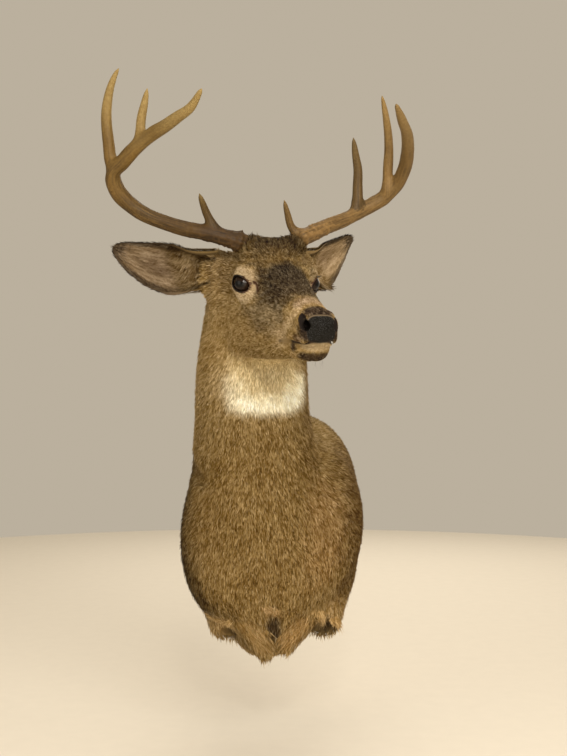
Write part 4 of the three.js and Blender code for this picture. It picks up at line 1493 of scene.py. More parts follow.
@dataclass
class Hide:
    """One skin over head, neck, trunk, foreleg stubs and ears."""

    form: SkinForm = field(default_factory=SkinForm)
    pad: NosePad = NosePad()
    eye_detail: float = 1.1  # longest edge round the eyes
    nose_detail: float = 1.3
    face_detail: float = 3.4

    def edge_length(self, p: Array) -> Array:
        """Wanted edge length at each place, in millimetres."""
        q = mirrored(HEAD.enter(p))
        eye = self.form.head.eye.local(q)
        opening = np.abs(self.form.head.eye.opening(eye))
        near_eye = (opening < 4) & (np.linalg.norm(eye, axis=-1) < 26)
        want = np.full(len(p), self.face_detail)
        want = np.where(np.linalg.norm(eye, axis=-1) < 32, 2.0, want)
        want = np.where(q[:, 1] > 158, self.nose_detail, want)
        lips = (line_distance(q, self.form.head.lip_line) < 5) & (q[:, 1] > 80)
        want = np.where(lips, 1.5, want)
        want = np.where(near_eye, self.eye_detail, want)
        return np.where(p[:, 2] < self.form.head_floor, 99, want)

    def head_and_body(self) -> Surface:
        """The skin without the ears."""
        axes = (
            graded_axis(-190, 190, 5.5, 3.0, (-82, 110)),
            graded_axis(-606, 6, 6.5, 3.0, (-600, -300)),
            graded_axis(-240, 520, 7, 3.0, (290, 520)),
        )
        surface = Netter(self.form.distance, axes).surface()
        return refine(surface, self.edge_length, self.form.distance, 4)

    def build(self) -> "SkinData":
        """Joins the ears to the skin and finds what each point belongs to."""
        trunk = self.head_and_body()
        log.info("skin without ears: %d triangles", len(trunk.triangles))
        leaves = [ear.surface() for ear in EARS]
        whole = united([trunk, *leaves])
        log.info("whole skin: %d triangles", len(whole.triangles))
        return SkinData(whole, self)


LID_RIM, LID_CORNER, TEAR_LINE = (24, 16, 12), (76, 50, 33), (62, 38, 24)  # bare skin
LIPS, NOSTRIL = (44, 32, 24), (12, 9, 8)


class SkinData:
    """The finished skin's points with what they belong to."""

    def __init__(self, surface: Surface, hide: Hide) -> None:
        """Sorts the points into regions and finds the ears' own coordinates.

        Args:
            surface: the whole skin.
            hide: the forms that it was made from.
        """
        self.surface = surface
        self.hide = hide
        self.normals = surface.normals()
        points = surface.points
        above = (points - vec(0, -338, 318)) @ vec(0, -132, 103) > 0
        self.region = np.where(above, Region.HEAD.value, Region.BODY.value)
        self.ear_place = np.zeros((len(points), 3))  # s, t, front
        for ear, region in zip(EARS, (Region.EAR_RIGHT, Region.EAR_LEFT)):
            self.mark_ear(ear, region)

    def mark_ear(self, ear: Ear, region: Region) -> None:
        """Finds the points of one ear."""
        points = self.surface.points
        free = self.hide.form.distance(points) > 0.4
        side = np.sign(HEAD.enter(points)[:, 0]) == ear.side.value
        mine = np.flatnonzero(free & side)
        s = np.linspace(0, ear.tip_in, 60)
        centres = HEAD.leave(ear.line(s))
        nearest = np.argmin(((points[mine, None] - centres) ** 2).sum(-1), axis=1)
        turn = np.linspace(-1, 1, 41)
        thick = table_value(ear.profile, s, 3)
        front = ear.place(s[:, None] + 0 * turn, turn + 0 * s[:, None], 0 * turn + 0 * s[:, None])
        back = ear.place(s[:, None] + 0 * turn, turn + 0 * s[:, None], thick[:, None] + 0 * turn)
        best = np.full(len(mine), np.inf)
        for shift in range(-8, 9):
            row = np.clip(nearest + shift, 0, len(s) - 1)
            for sheet, flag in ((front, 1.0), (back, 0.0)):
                gap = ((points[mine, None] - sheet[row]) ** 2).sum(-1)
                column = np.argmin(gap, axis=1)
                least = gap[np.arange(len(mine)), column]
                better = least < best
                best[better] = least[better]
                chosen = np.stack([s[row], turn[column], np.full(len(mine), flag)], -1)
                self.ear_place[mine[better]] = chosen[better]
        self.region[mine] = region.value
        log.info("%s: %d points", region.name, len(mine))

    def colours(self) -> tuple[Array, Array]:
        """Linear colours and the finish (moist, 0, 0) of each point."""
        points = self.surface.points
        colour = Markings().at(points)
        for ear, region in zip(EARS, (Region.EAR_RIGHT, Region.EAR_LEFT)):
            mine = self.region == region.value
            colour[mine] = ear.marks.at(*self.ear_place[mine].T)
        q = mirrored(HEAD.enter(points))
        eye_form = self.hide.form.head.eye
        eye = eye_form.local(q)
        opening = eye_form.opening(eye)
        near = np.linalg.norm(eye, axis=-1) < 24
        corner = ramp(eye[:, 0], 2, 12)
        away = opening - 2.6 * corner
        rim = near * (1 - ramp(away, 2.2, 3.4)) * ramp(eye[:, 2], 0, 4)
        flesh = rim * corner * ramp(opening, 0.4, 1.6)
        pad = self.hide.pad.share(q)
        pad = np.where(self.region == Region.HEAD.value, pad, 0)
        hollow = 1 - ramp(self.hide.form.head.to_nostril(q), -0.6, 0.7)
        lips = 1 - ramp(line_distance(q, self.hide.form.head.lip_line), 1.8, 3.2)
        head = self.region == Region.HEAD.value
        # painted highlight: the pale line along the pad's upper edge
        edge = self.hide.pad.rim(q) * head
        dry = 1 - ramp(self.hide.form.head.to_nostril(q), 1.5, 3.5)
        tear = 1 - ramp(line_distance(q, self.hide.form.head.tear_line), 2.2, 3.8)
        for share, tone in ((dry, self.hide.pad.dry_colour), (pad, self.hide.pad.colour),
                            (edge * 0.8, self.hide.pad.painted_highlight_colour), (rim, LID_RIM),
                            (flesh, LID_CORNER), (tear, TEAR_LINE), (lips, LIPS), (hollow, NOSTRIL)):
            colour = colour * (1 - share[:, None]) + linear(tone) * share[:, None]
        wet = np.maximum.reduce([pad, rim * 0.8, lips * 0.08])
        return colour, np.stack([wet, 0 * wet, 0 * wet], -1)

    def map_places(self) -> Array:
        """Places on the map for each corner of each triangle, chart by chart."""
        tri = self.surface.triangles
        points = self.surface.points
        result = np.zeros((len(tri), 3, 2))
        region = np.max(self.region[tri], axis=1)
        faces = self.normals[tri].mean(axis=1)
        for kind in Region:
            mine = np.flatnonzero(region == kind.value)
            for corner in range(3):
                at = tri[mine, corner]
                if kind.value < 2:
                    result[mine, corner] = UNWRAP.box(kind, points[at], faces[mine])
                else:
                    front = self.ear_place[tri[mine]][:, :, 2].mean(axis=1)
                    s, t, _ = self.ear_place[at].T
                    result[mine, corner] = UNWRAP.ear(kind, s, t, front)
        return result.reshape(-1, 2)

    def piece(self) -> Piece:
        """The skin as one object in place of the nodes of flesh."""
        piece = mesh_object("hide_skin", self.surface)
        colour, finish = self.colours()
        paint(piece, colour)
        paint(piece, finish, "Finish")
        add_map(piece, self.map_places())
        dress(piece, HideFinish().material())
        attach(piece, "root")
        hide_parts("head", "neck", "trunk", "foreleg_right", "foreleg_left",
                    "ear_right", "ear_left")
        return piece


# --- The coat ---

@dataclass
class Locks:
    """Many tapered locks of hair, one row of each array for each lock."""

    roots: Array
    normals: Array
    ways: Array
    lengths: Array
    widths: Array
    rises: Array
    colours: Array  # three colours for each lock: root, middle and tip
    places: Array  # on the map

    def part(self, chosen: Array) -> "Locks":
        """The chosen locks."""
        return Locks(*(getattr(self, name)[chosen] for name in self.__dataclass_fields__))

    def piece(self, name: str, material: Material, slot: str) -> Piece:
        """One object of all the locks.

        Args:
            name: the object's name.
            material: its finish.
            slot: not used.

        Returns:
            The object.
        """
        count = len(self.roots)
        across = np.cross(self.normals, self.ways) * self.widths[:, None] / 2
        high = self.normals * self.widths[:, None] * 0.35
        along = self.ways * self.lengths[:, None]
        up = self.normals * self.rises[:, None]
        root = self.roots - self.normals * 0.6
        middle = self.roots + along * 0.42 + up * 0.75
        rows = [root, middle - across, middle + high, middle + across, self.roots + along + up]
        points = np.stack(rows, 1).reshape(-1, 3)
        pattern = np.array([[0, 1, 2], [0, 2, 3], [1, 4, 2], [2, 4, 3]])
        triangles = (pattern + 5 * np.arange(count)[:, None, None]).reshape(-1, 3)
        piece = mesh_object(name, Surface(points, triangles))
        tone = self.colours[:, [0, 1, 1, 1, 2]].reshape(-1, 3)
        paint(piece, tone)
        local = np.array([[0, -1], [-1, 0], [0, 0], [1, 0], [0, 1]]) * PATCH / 2
        corners = self.places[:, None, None] + local[pattern]
        add_map(piece, corners.reshape(-1, 2))
        dress(piece, material)
        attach(piece, "root")
        return piece


PATCH = 0.003  # size of a lock's patch on the map


@dataclass(frozen=True)
class Scatter:
    """Spreads roots evenly over triangles."""

    seed: int

    def roots(self, surface: Surface, normals: Array, density: Array
              ) -> tuple[Array, Array, Array, Array]:
        """Roots over a surface.

        Args:
            surface: the skin.
            normals: at its points.
            density: roots for each square millimetre, at its points.

        Returns:
            Triangle of each root, its shares of the corners, its place and its normal.
        """
        rng = np.random.default_rng(self.seed)
        tri = surface.triangles
        weight = surface.areas() * density[tri].mean(axis=1)
        total = np.cumsum(weight)
        count = int(total[-1])
        marks = (np.arange(count) + rng.random(count)) * total[-1] / count
        chosen = np.searchsorted(total, marks)
        a, b = rng.random((2, count))
        over = a + b > 1
        a[over], b[over] = 1 - a[over], 1 - b[over]
        shares = np.stack([1 - a - b, a, b], -1)
        corners = tri[chosen]
        place = (surface.points[corners] * shares[..., None]).sum(axis=1)
        normal = unit((normals[corners] * shares[..., None]).sum(axis=1))
        return chosen, shares, place, normal


@dataclass(frozen=True)
class Tuft:
    """Longer hair rooted along a line on the hide."""

    line: tuple
    spread: float  # how far from the line roots may lie
    way: Point
    length: float
    rise: float
    count: int
    frame: Frame = Frame.ROW  # tufts given in the head frame are made on both sides
    colour: tuple | None = None  # None takes the marking's colour
    width: float = 1.4
    scatter: float = 0.16  # how unevenly the locks point


TUFTS = (
    Tuft(((-60, -225, -114), (-80, -216, -122), (-99, -196, -134)), 5, (-0.6, -0.25, -1), 24, 6, 300,
         colour=(170, 142, 94)),
    Tuft(((64, -226, -106), (92, -208, -116), (116, -178, -138)), 5, (0.7, -0.1, -1), 22, 6, 320,
         colour=(170, 140, 92)),
    Tuft(((-52, -238, -124), (-18, -236, -164)), 16, (0.45, -0.1, -1), 26, 6, 800,
         colour=(140, 112, 66)),
    Tuft(((60, -228, -122), (34, -228, -158)), 13, (-0.5, -0.1, -1), 24, 6, 600,
         colour=(142, 112, 66)),
    Tuft(((-12, -270, -98), (8, -268, -102)), 6, (0.3, -0.3, -1), 17, 7, 150, colour=(146, 118, 76)),
    Tuft(((2, -30, 64), (30, -28, 62)), 16, (0.3, -0.8, 0.5), 9, 4, 260, Frame.HEAD, scatter=0.4),
    Tuft(((22, -44, 62), (30, -24, 58), (48, -16, 48), (60, -32, 42), (58, -50, 44)), 6,
         (0.1, -0.3, 1), 10, 6, 420, Frame.HEAD, scatter=0.35),
    Tuft(((60, -70, 36), (72, -74, 12), (68, -66, -18), (56, -72, -40)), 8, (1, -0.3, -0.35), 12, 4, 1000,
         Frame.HEAD),
    Tuft(((36, 0, -106), (32, 60, -98), (28, 100, -86)), 13, (0.1, -0.8, -0.5), 13, 3, 900, Frame.HEAD),
)


@dataclass(frozen=True)
class Coat:
    """The coat: locks that lie along the body, smallest on the face."""

    cover: float = 4.8  # how many locks lie over each place
    head_rows: tuple = (  # f, length, width, rise
        (-130, 10.5, 1.25, 4.2), (-70, 8.5, 1.15, 3.0), (-20, 6.6, 1.0, 2.1), (40, 5.2, 0.9, 1.5),
        (100, 4.6, 0.85, 1.2), (150, 3.4, 0.8, 0.8), (185, 2.3, 0.7, 0.4),
    )
    body_rows: tuple = (  # Z, length, width, rise
        (-230, 14, 1.35, 4.5), (-150, 11.5, 1.3, 4.6), (-60, 9.5, 1.25, 4.6), (100, 9.2, 1.2, 4.6),
        (300, 9.5, 1.2, 4.6), (460, 9.5, 1.2, 4.2),
    )
    lip_at: Point = (0, 176, -62)  # the short even hair of the lower lip
    lip_radii: Point = (32, 26, 13)
    contrast: float = 24  # between neighbouring locks, in eight-bit steps
    lash_colour: Colour = (26, 18, 14)
    lip_calm: float = 12  # how much less of it there is on the lower lip
    seed: int = 5

    def sizes(self, skin: SkinData, points: Array) -> tuple[Array, Array, Array]:
        """Length, width and rise of the locks at each place of head and body."""
        head = HEAD.enter(points)
        q = mirrored(head)
        form = skin.hide.form
        share = ramp(form.body.outline(points) - form.head.outline(q), -25, 25)
        share = np.where(points[:, 2] < form.head_floor, 0, share)
        values = []
        for column in (1, 2, 3):
            face = table_value(self.head_rows, q[:, 1], column)
            body = table_value(self.body_rows, points[:, 2], column)
            values.append(body + (face - body) * share)
        length, width, rise = values
        eye = form.head.eye.local(q)
        close = bump(np.linalg.norm(eye, axis=-1), 0, 30)
        length *= 1 - 0.55 * close
        width *= 1 - 0.35 * close
        rise *= 1 - 0.7 * close
        lobes = Ellipsoid((0, -190, -170), (110, 60, 50)).distance(points)
        length *= 1 + 0.25 * (1 - ramp(lobes, -20, 20))
        return length, width, rise

    def bare(self, skin: SkinData) -> Array:
        """Points of the skin that carry no locks, as 0, and others as 1."""
        points = skin.surface.points
        q = mirrored(HEAD.enter(points))
        form = skin.hide.form
        eye = form.head.eye.local(q)
        lids = form.head.eye.opening(eye) < 2.6 + 2.6 * ramp(eye[:, 0], -2, 10)
        lids &= (np.linalg.norm(eye, axis=-1) < 27) & (eye[:, 2] > 0)
        lids |= line_distance(q, form.head.tear_line) < 4.2
        pad = skin.hide.pad.edge(q) < 0.2 + 1.2 * ramp(q[:, 2], -28, -22)
        pad &= skin.region == Region.HEAD.value
        lips = line_distance(q, form.head.lip_line) < 4.4
        inside = form.head.to_nostril(q) < 1.8
        wall = points[:, 1] > -4
        hollow = np.minimum.reduce([stub.hollow.distance(points) for stub in form.body.stubs]) < 1.5
        crown = np.minimum.reduce([
            np.linalg.norm(points - antler.line()[0][6], axis=-1) for antler in ANTLERS]) < 12
        ears = skin.region >= 2
        return np.where(lids | pad | lips | inside | wall | hollow | crown | ears, 0.0, 1.0)

    def tones(self, colour: Array, points: Array, rng: np.random.Generator, contrast: Array) -> Array:
        """Root, middle and tip colours of locks.

        Args:
            colour: the marking's colours at each lock's root, middle and tip.
            points: the roots.
            rng: source of chance.
            contrast: how strongly neighbouring locks differ, in eight-bit steps.

        Returns:
            Three colours for each lock.
        """
        count = len(points)
        drift = 4 * NOISE.at(points + 29, 60.0) + 5 * NOISE.at(points + 53, 22.0)
        ticking = 0.5 * rng.normal(0, 1, count) + 1.5 * NOISE.at(self.along_lie(points), 1.6)
        middle = drift + contrast * ticking
        pale = rng.normal(0, 0.6, count) + ticking > -0.2
        tip = middle + contrast * np.where(pale, 0.9, -0.8)
        # painted shade: each lock is darker towards its root, where the locks over it shade it
        root = 0.5 * middle - 1.6 * contrast
        return shifted(colour, np.stack([root, middle, tip], 1)[..., None])

    @staticmethod
    def along_lie(points: Array) -> Array:
        """Places squeezed along the usual lie of the hair, so that noise there makes streaks."""
        head = HEAD.enter(points)
        on_head = (head[:, 1] > -90) & (points[:, 2] > SkinForm.head_floor + 40)
        return np.where(on_head[:, None], head * vec(1, 0.45, 0.8), points * vec(1, 0.8, 0.5))

    def on_skin(self, skin: SkinData) -> tuple[Locks, Array]:
        """Locks over head and body, with the region of each."""
        surface = skin.surface
        length, width, _ = self.sizes(skin, surface.points)
        density = self.cover / (length * width) * self.bare(skin)
        chosen, _, place, normal = Scatter(self.seed).roots(surface, skin.normals, density)
        rng = np.random.default_rng(self.seed + 1)
        count = len(place)
        length, width, rise = self.sizes(skin, place)
        ways = Lie().at(place, normal)
        across = np.cross(normal, ways)
        sway = 0.16 * rng.normal(0, 1, count) + 0.22 * NOISE.at(place + 17, 30.0)
        ways = unit(ways + across * sway[:, None])
        markings = Markings()
        ends = [markings.at(place + ways * length[:, None] * share) for share in (0, 1)]
        colour = np.stack([ends[0], (ends[0] + ends[1]) / 2, ends[1]], 1)
        region = skin.region[surface.triangles[chosen]].max(axis=1)
        from_lip = (mirrored(HEAD.enter(place)) - vec(*self.lip_at)) / vec(*self.lip_radii)
        calm = self.lip_calm * (1 - ramp(np.linalg.norm(from_lip, axis=-1), 0.8, 1.1))
        tones = self.tones(colour, place, rng, self.contrast - calm)
        places = np.zeros((count, 2))
        for kind in (Region.BODY, Region.HEAD):
            mine = region == kind.value
            places[mine] = UNWRAP.box(kind, place[mine], normal[mine])
        length *= np.exp(0.22 * rng.normal(0, 1, count))
        rise *= np.clip(1 + 0.35 * rng.normal(0, 1, count), 0.3, 2.0)
        width *= np.exp(0.2 * rng.normal(0, 1, count))
        room = -1 - place[:, 1]
        towards_wall = np.maximum(ways[:, 1] + normal[:, 1] * rise / length, 0.02)
        length = np.minimum(length, room / towards_wall)
        return Locks(place, normal, ways, length, width, rise, tones, places), region

    def in_tufts(self, skin: SkinData) -> Locks:
        """The longer hair of the tufts."""
        rng = np.random.default_rng(self.seed + 50)
        places, ways, colours, sizes = [], [], [], []
        for tuft in TUFTS:
            count = tuft.count
            knots = np.asarray(tuft.line, float)
            at = rng.random(count) * (len(knots) - 1)
            share = np.arange(len(knots))
            place = np.stack([np.interp(at, share, knots[:, i]) for i in range(3)], -1)
            place += rng.normal(0, tuft.spread / 2, (count, 3))
            way = unit(vec(*tuft.way) + rng.normal(0, tuft.scatter, (count, 3)))
            if tuft.frame is Frame.HEAD:
                side = vec(1, 1, 1) * np.where(rng.random((count, 1)) < 0.5, (1, 1, 1), (-1, 1, 1))
                place, way = HEAD.leave(place * side), (way * side) @ HEAD.axes()
            place = slide_onto(skin.hide.form.distance, place, 8, 4.0)
            colour = Markings().at(place)
            if tuft.colour is not None:
                colour = np.tile(linear(tuft.colour), (count, 1))
            places.append(place)
            ways.append(way)
            colours.append(colour)
            sizes.append(np.tile([tuft.length, tuft.width, tuft.rise], (count, 1)))
        place, way, colour, size = (np.concatenate(v) for v in (places, ways, colours, sizes))
        count = len(place)
        step = 0.05
        base = skin.hide.form.distance(place)
        normal = unit(np.stack([skin.hide.form.distance(place + step * axis) - base
                                for axis in np.eye(3)], -1))
        way = unit(way - normal * (way * normal).sum(-1, keepdims=True))
        length = size[:, 0] * np.exp(0.22 * rng.normal(0, 1, count))
        tones = self.tones(np.repeat(colour[:, None], 3, axis=1), place, rng, np.full(count, 20.0))
        on_map = UNWRAP.box(Region.BODY, place, normal)
        head = HEAD.enter(place)[:, 1] > -100
        head &= place[:, 2] > skin.hide.form.head_floor
        on_map[head] = UNWRAP.box(Region.HEAD, place[head], normal[head])
        return Locks(place, normal, way, length, size[:, 1], size[:, 2], tones, on_map)

    def on_ear(self, ear: Ear, region: Region) -> Locks:
        """Locks over one ear: short on its back, longer and sparser in the cup."""
        rng = np.random.default_rng(self.seed + 10 + region.value)
        count = 20000
        s = rng.random(count) ** 0.9 * 0.985
        t = rng.uniform(-0.97, 0.97, count)
        front = rng.random(count) < 0.5
        thick = table_value(ear.profile, s, 3)
        lift = np.where(front, ear.front_depth, thick - ear.back_depth)
        place = ear.place(s, t * ear.rim_in, lift)
        step = 0.01
        along = unit(ear.place(s + step, t * ear.rim_in, lift) - place)
        across = unit(ear.place(s, (t + step) * ear.rim_in, lift) - place)
        normal = unit(np.cross(along, across))
        outward = ear.place(s, t * ear.rim_in, lift + np.where(front, -1.0, 1.0)) - place
        normal *= np.sign((normal * outward).sum(-1, keepdims=True))
        fan = np.where(front, -0.9 * np.sign(t) * ramp(np.abs(t), 0.2, 0.9) * (1 - s), 0.25 * t)
        root_hair = front * (1 - ramp(s + 0.1 * t, 0.3, 0.52))
        downward = -np.sign(across[:, 2]) * 0.9 * root_hair
        sway = fan * (1 - root_hair) + downward + 0.2 * rng.normal(0, 1, count)
        ways = unit(along * (1 - 0.5 * root_hair)[:, None] + across * sway[:, None])
        length = np.where(front, 6.5 + 8 * root_hair, 6.0) * np.exp(0.25 * rng.normal(0, 1, count))
        width = np.where(front, 0.8 + 0.4 * root_hair, 1.0) * np.exp(0.2 * rng.normal(0, 1, count))
        rise = np.where(front, 0.9 + 3 * root_hair, 1.2)
        rise = rise * np.clip(1 + 0.4 * rng.normal(0, 1, count), 0.3, 2)
        room = np.minimum(1, (1.03 - s) * 20)
        length = np.minimum(length, 3 + 16 * room)
        colour = ear.marks.at(s, t, front.astype(float))
        streaks = HEAD.leave(np.stack([s * 20, t * 60, front * 50.0], -1))
        tones = self.tones(np.repeat(colour[:, None], 3, axis=1), streaks, rng, 17 + 8 * root_hair)
        places = UNWRAP.ear(region, s, t, front.astype(float))
        return Locks(place, normal, ways, length, width, rise, tones, places)

    def lashes(self, skin: SkinData) -> Locks:
        """Lashes along the upper lids and a few whiskers under the chin."""
        rng = np.random.default_rng(self.seed + 30)
        form = skin.hide.form.head.eye
        rows = []
        out = vec(*form.axis)
        front = vec(-out[1], out[0], 0)
        for side in Side:
            for x in np.linspace(-11.5, 10, 44):
                y = form.half_height * (1 - (abs(x) / form.half_width) ** form.almond) ** (1 / form.almond)
                y = y - form.tilt * x + 0.6
                reach = form.radius + form.lid - 0.6
                z = np.sqrt(max(reach**2 - x * x - y * y, 1))
                ball = front * x + vec(0, 0, 1) * y + out * z
                at = (vec(*form.at) + ball) * vec(side.value, 1, 1)
                way = unit(out * 0.9 + vec(0, 0, 0.25) + front * (x / 30) + rng.normal(0, 0.12, 3))
                rows.append((at, unit(ball) * vec(side.value, 1, 1), way * vec(side.value, 1, 1),
                             rng.uniform(4.5, 7.5), 0.55))
        for _ in range(26):
            at = vec(rng.uniform(-16, 16), rng.uniform(135, 172), -81)
            rows.append((at, vec(0, 0, -1), unit(vec(rng.normal(0, 0.3), -0.3, -1)),
                         rng.uniform(12, 24), 0.4))
        at, normal, way, length, width = (np.array(column) for column in zip(*rows))
        axes = HEAD.axes()
        count = len(at)
        tones = np.tile(linear(self.lash_colour), (count, 3, 1))
        place = HEAD.leave(at)
        normal, way = normal @ axes, way @ axes
        places = UNWRAP.box(Region.HEAD, place, normal)
        return Locks(place, normal, way, length, width, 0.0 * length, tones, places)


# --- Antlers ---

def curve_through(points: Sequence[Sequence[float]], spacing: float) -> tuple[Array, float]:
    """Evenly spaced places on a centripetal curve through points of the head frame.

    Args:
        points: the places it passes through.
        spacing: distance between the results, in millimetres.

    Returns:
        The places in the row frame and the curve's length.
    """
    knots = HEAD.leave(np.asarray(points, float))
    knots = np.vstack([2 * knots[0] - knots[1], knots, 2 * knots[-1] - knots[-2]])
    fine = []
    t = np.linspace(0, 1, 24, endpoint=False)[:, None]
    for a, b, c, d in zip(knots, knots[1:], knots[2:], knots[3:]):
        s0, s1, s2 = (np.sqrt(np.linalg.norm(q - p)) for p, q in ((a, b), (b, c), (c, d)))
        m1 = ((b - a) / s0 - (c - a) / (s0 + s1) + (c - b) / s1) * s1
        m2 = ((c - b) / s1 - (d - b) / (s1 + s2) + (d - c) / s2) * s1
        rise = c - b
        fine.append(b + m1 * t + (3 * rise - 2 * m1 - m2) * t**2 + (m1 + m2 - 2 * rise) * t**3)
    fine = np.vstack([*fine, knots[-2:-1]])
    far = np.concatenate([[0], np.cumsum(np.linalg.norm(np.diff(fine, axis=0), axis=1))])
    marks = np.linspace(0, far[-1], max(int(far[-1] / spacing), 8))
    return np.stack([np.interp(marks, far, fine[:, i]) for i in range(3)], -1), far[-1]


def carried_frames(line: Array) -> tuple[Array, Array]:
    """Two directions across a line that turn as little as they can along it."""
    tangents = unit(np.gradient(line, axis=0))
    first = unit(np.cross(tangents[0], vec(0.3, 0.2, 1)))
    firsts = []
    for tangent in tangents:
        first = unit(first - tangent * (first @ tangent))
        firsts.append(first)
    firsts = np.array(firsts)
    return firsts, np.cross(tangents, firsts)


@dataclass(frozen=True)
class Tine:
    """A tine: its middle line in the head frame, how stout it is, and a factor on its colours that paints
    light and shade on it.
    """

    points: tuple
    girth: float
    # painted light and shade: factor on the tine's colours
    tone: float = 1.0


@dataclass(frozen=True)
class Antler:
    """An antler: a beam with a burr, and its tines, grooved and pearled."""

    side: Side
    points: tuple
    tines: tuple[Tine, ...]
    beam_radii: tuple = ((0, 14), (0.12, 12.5), (0.3, 11.2), (0.45, 12.4), (0.6, 11), (0.78, 9.4),
                         (0.92, 6.6), (1, 2.6))
    tine_radii: tuple = ((0, 10.5), (0.25, 9), (0.6, 7.4), (0.85, 5), (1, 2))
    tones: tuple = ((58, 40, 14), (99, 77, 37), (143, 122, 76))  # at the base, along it, at the tips
    flare: float = 0.7  # how much wider the tines are where they leave the beam, along it
    burr_radius: float = 17.0
    burr_at: float = 0.022
    burr_spread: float = 0.01
    spacing: float = 2.2
    tip_taper: tuple = (0.85, 0.6, 0.25)  # what is left of the width at the last three rings

    def line(self) -> tuple[Array, float]:
        """The beam's middle line."""
        return curve_through(self.points, self.spacing)

    def relief(self, points: Array, turn: Array, age: Array) -> Array:
        """Grooves along the bone and pearls near its base.

        Args:
            points: places on the plain surface.
            turn: angle round the bone.
            age: 1 at the base, falling to 0 at the tips.

        Returns:
            Height over the plain surface in millimetres.
        """
        wander = 1.4 * NOISE.at(points, 60.0)
        ridges = np.sin(9 * turn + 3 * wander) + 0.6 * np.sin(17 * turn - 4 * wander)
        along = np.arange(len(points))[:, None] * self.spacing + 0 * turn
        streak = np.stack([6 * np.cos(turn) + 0 * along, 6 * np.sin(turn) + 0 * along, along / 20], -1)
        grooves = -0.5 * (0.1 + age) * np.abs(ridges) ** 0.7 + 0.8 * (0.1 + age) * NOISE.at(streak, 1.0)
        pearls = np.clip(NOISE.at(points + 5, 4.0) - 0.15, 0, 1) * 3.2
        lumps = 0.35 * NOISE.at(points + 19, 24.0)
        return grooves + 0.2 + 0.15 * age + lumps + pearls * ramp(age, 0.66, 1.0)

    def branch(self, line: Array, radii: Array, age: Array, sides: int, spread: Array
               ) -> tuple[Surface, Array]:
        """A grooved branch.

        Args:
            line: its middle line.
            radii: plain radius along it.
            age: 1 at the antler's base and 0 at tips, along it.
            sides: points round it.
            spread: for each place along it, a direction in which it is wider, as long as the
                share by which it is.

        Returns:
            The surface and the linear colour of each of its points.
        """
        turn = np.linspace(0, 2 * np.pi, sides, endpoint=False)
        normals, binormals = carried_frames(line)
        out = (normals[:, None] * np.cos(turn)[:, None] + binormals[:, None] * np.sin(turn)[:, None])
        wider = 1 + np.abs(np.einsum("ijk,ik->ij", out, spread))
        plain = line[:, None] + out * (radii[:, None] * wider)[..., None]
        ages = np.broadcast_to(age[:, None], plain.shape[:2])
        height = self.relief(plain, turn, ages) * np.minimum(radii / 7, 1)[:, None]
        surface = ring_surface(plain + out * height[..., None])
        tone = self.tone(ages, height, plain).reshape(-1, 3)
        return surface, np.vstack([tone, tone[:1], tone[-1:]])

    def tone(self, age: Array, height: Array, points: Array) -> Array:
        """Linear colours: brown at the base and in grooves, pale at tips and on ridges."""
        base, shaft, tip = (linear(tone) for tone in self.tones)
        drift = 0.08 * NOISE.at(points + 3, 40.0)
        share = ramp(age + drift, 0.35, 0.95)[..., None]
        pale = ramp(0.34 - age + drift, 0.0, 0.3)[..., None]
        colour = shaft + (base - shaft) * share
        colour = colour + (tip - colour) * pale
        depth = np.clip(1 + (0.9 - 0.3 * age) * (height - 0.05), 0.4, 1.25)[..., None]
        depth = 1 + (depth - 1) * ramp(age, 0.05, 0.35)[..., None]
        return np.clip(colour * depth, 0, 0.9)

    def build(self, material: Material) -> Piece:
        """The antler as one object in place of its six nodes."""
        line, _ = self.line()
        t = np.linspace(0, 1, len(line))
        radii = table_value(self.beam_radii, t, 1)
        burr = bump(t, self.burr_at, self.burr_spread)
        radii = radii + (self.burr_radius - radii) * burr
        radii[-3:] *= self.tip_taper
        age = np.clip(1 - t * 1.05, 0, 1)
        surfaces, colours = [], []
        surface, colour = self.branch(line, radii, age, 60, np.zeros_like(line))
        surfaces.append(surface)
        colours.append(colour)
        for tine in self.tines:
            tine_line, far = curve_through(tine.points, self.spacing)
            u = np.linspace(0, 1, len(tine_line))
            nearest = np.argmin(np.linalg.norm(line - tine_line[0], axis=1))
            beside = min(nearest + 1, len(line) - 1)
            spread = unit(line[beside] - line[beside - 2]) * self.flare * bump(u * far, 9.0, 14.0)[:, None]
            width = table_value(self.tine_radii, u, 1) * tine.girth
            width = np.minimum(width, 0.62 * radii[nearest] + 0.13 * u * far)
            width[-3:] *= self.tip_taper
            age = np.clip((1 - nearest / len(line)) * (1 - 0.9 * u) * 0.9, 0, 1)
            surface, colour = self.branch(tine_line, width, age, 40, spread)
            surfaces.append(surface)
            # painted light and shade: each tine's colours are scaled by its tone
            colours.append(colour * tine.tone)
        whole = united(surfaces)
        points = np.concatenate([s.points for s in surfaces])
        tones = np.concatenate(colours)
        branch = np.repeat(np.arange(len(surfaces)), [len(s.points) for s in surfaces])
        whole = smooth_joins(whole, nearest_values(points, branch, whole.points), 7.0, 40)
        piece = mesh_object(f"antler_{self.side.name.lower()}", whole)
        paint(piece, nearest_values(points, tones, whole.points))
        dress(piece, material)
        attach(piece, "root")
        names = ("beam_base", "beam_middle", "beam_tip", "brow_tine", "second_tine", "third_tine")
        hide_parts(*(f"{piece.name}_{name}" for name in names))
        return piece


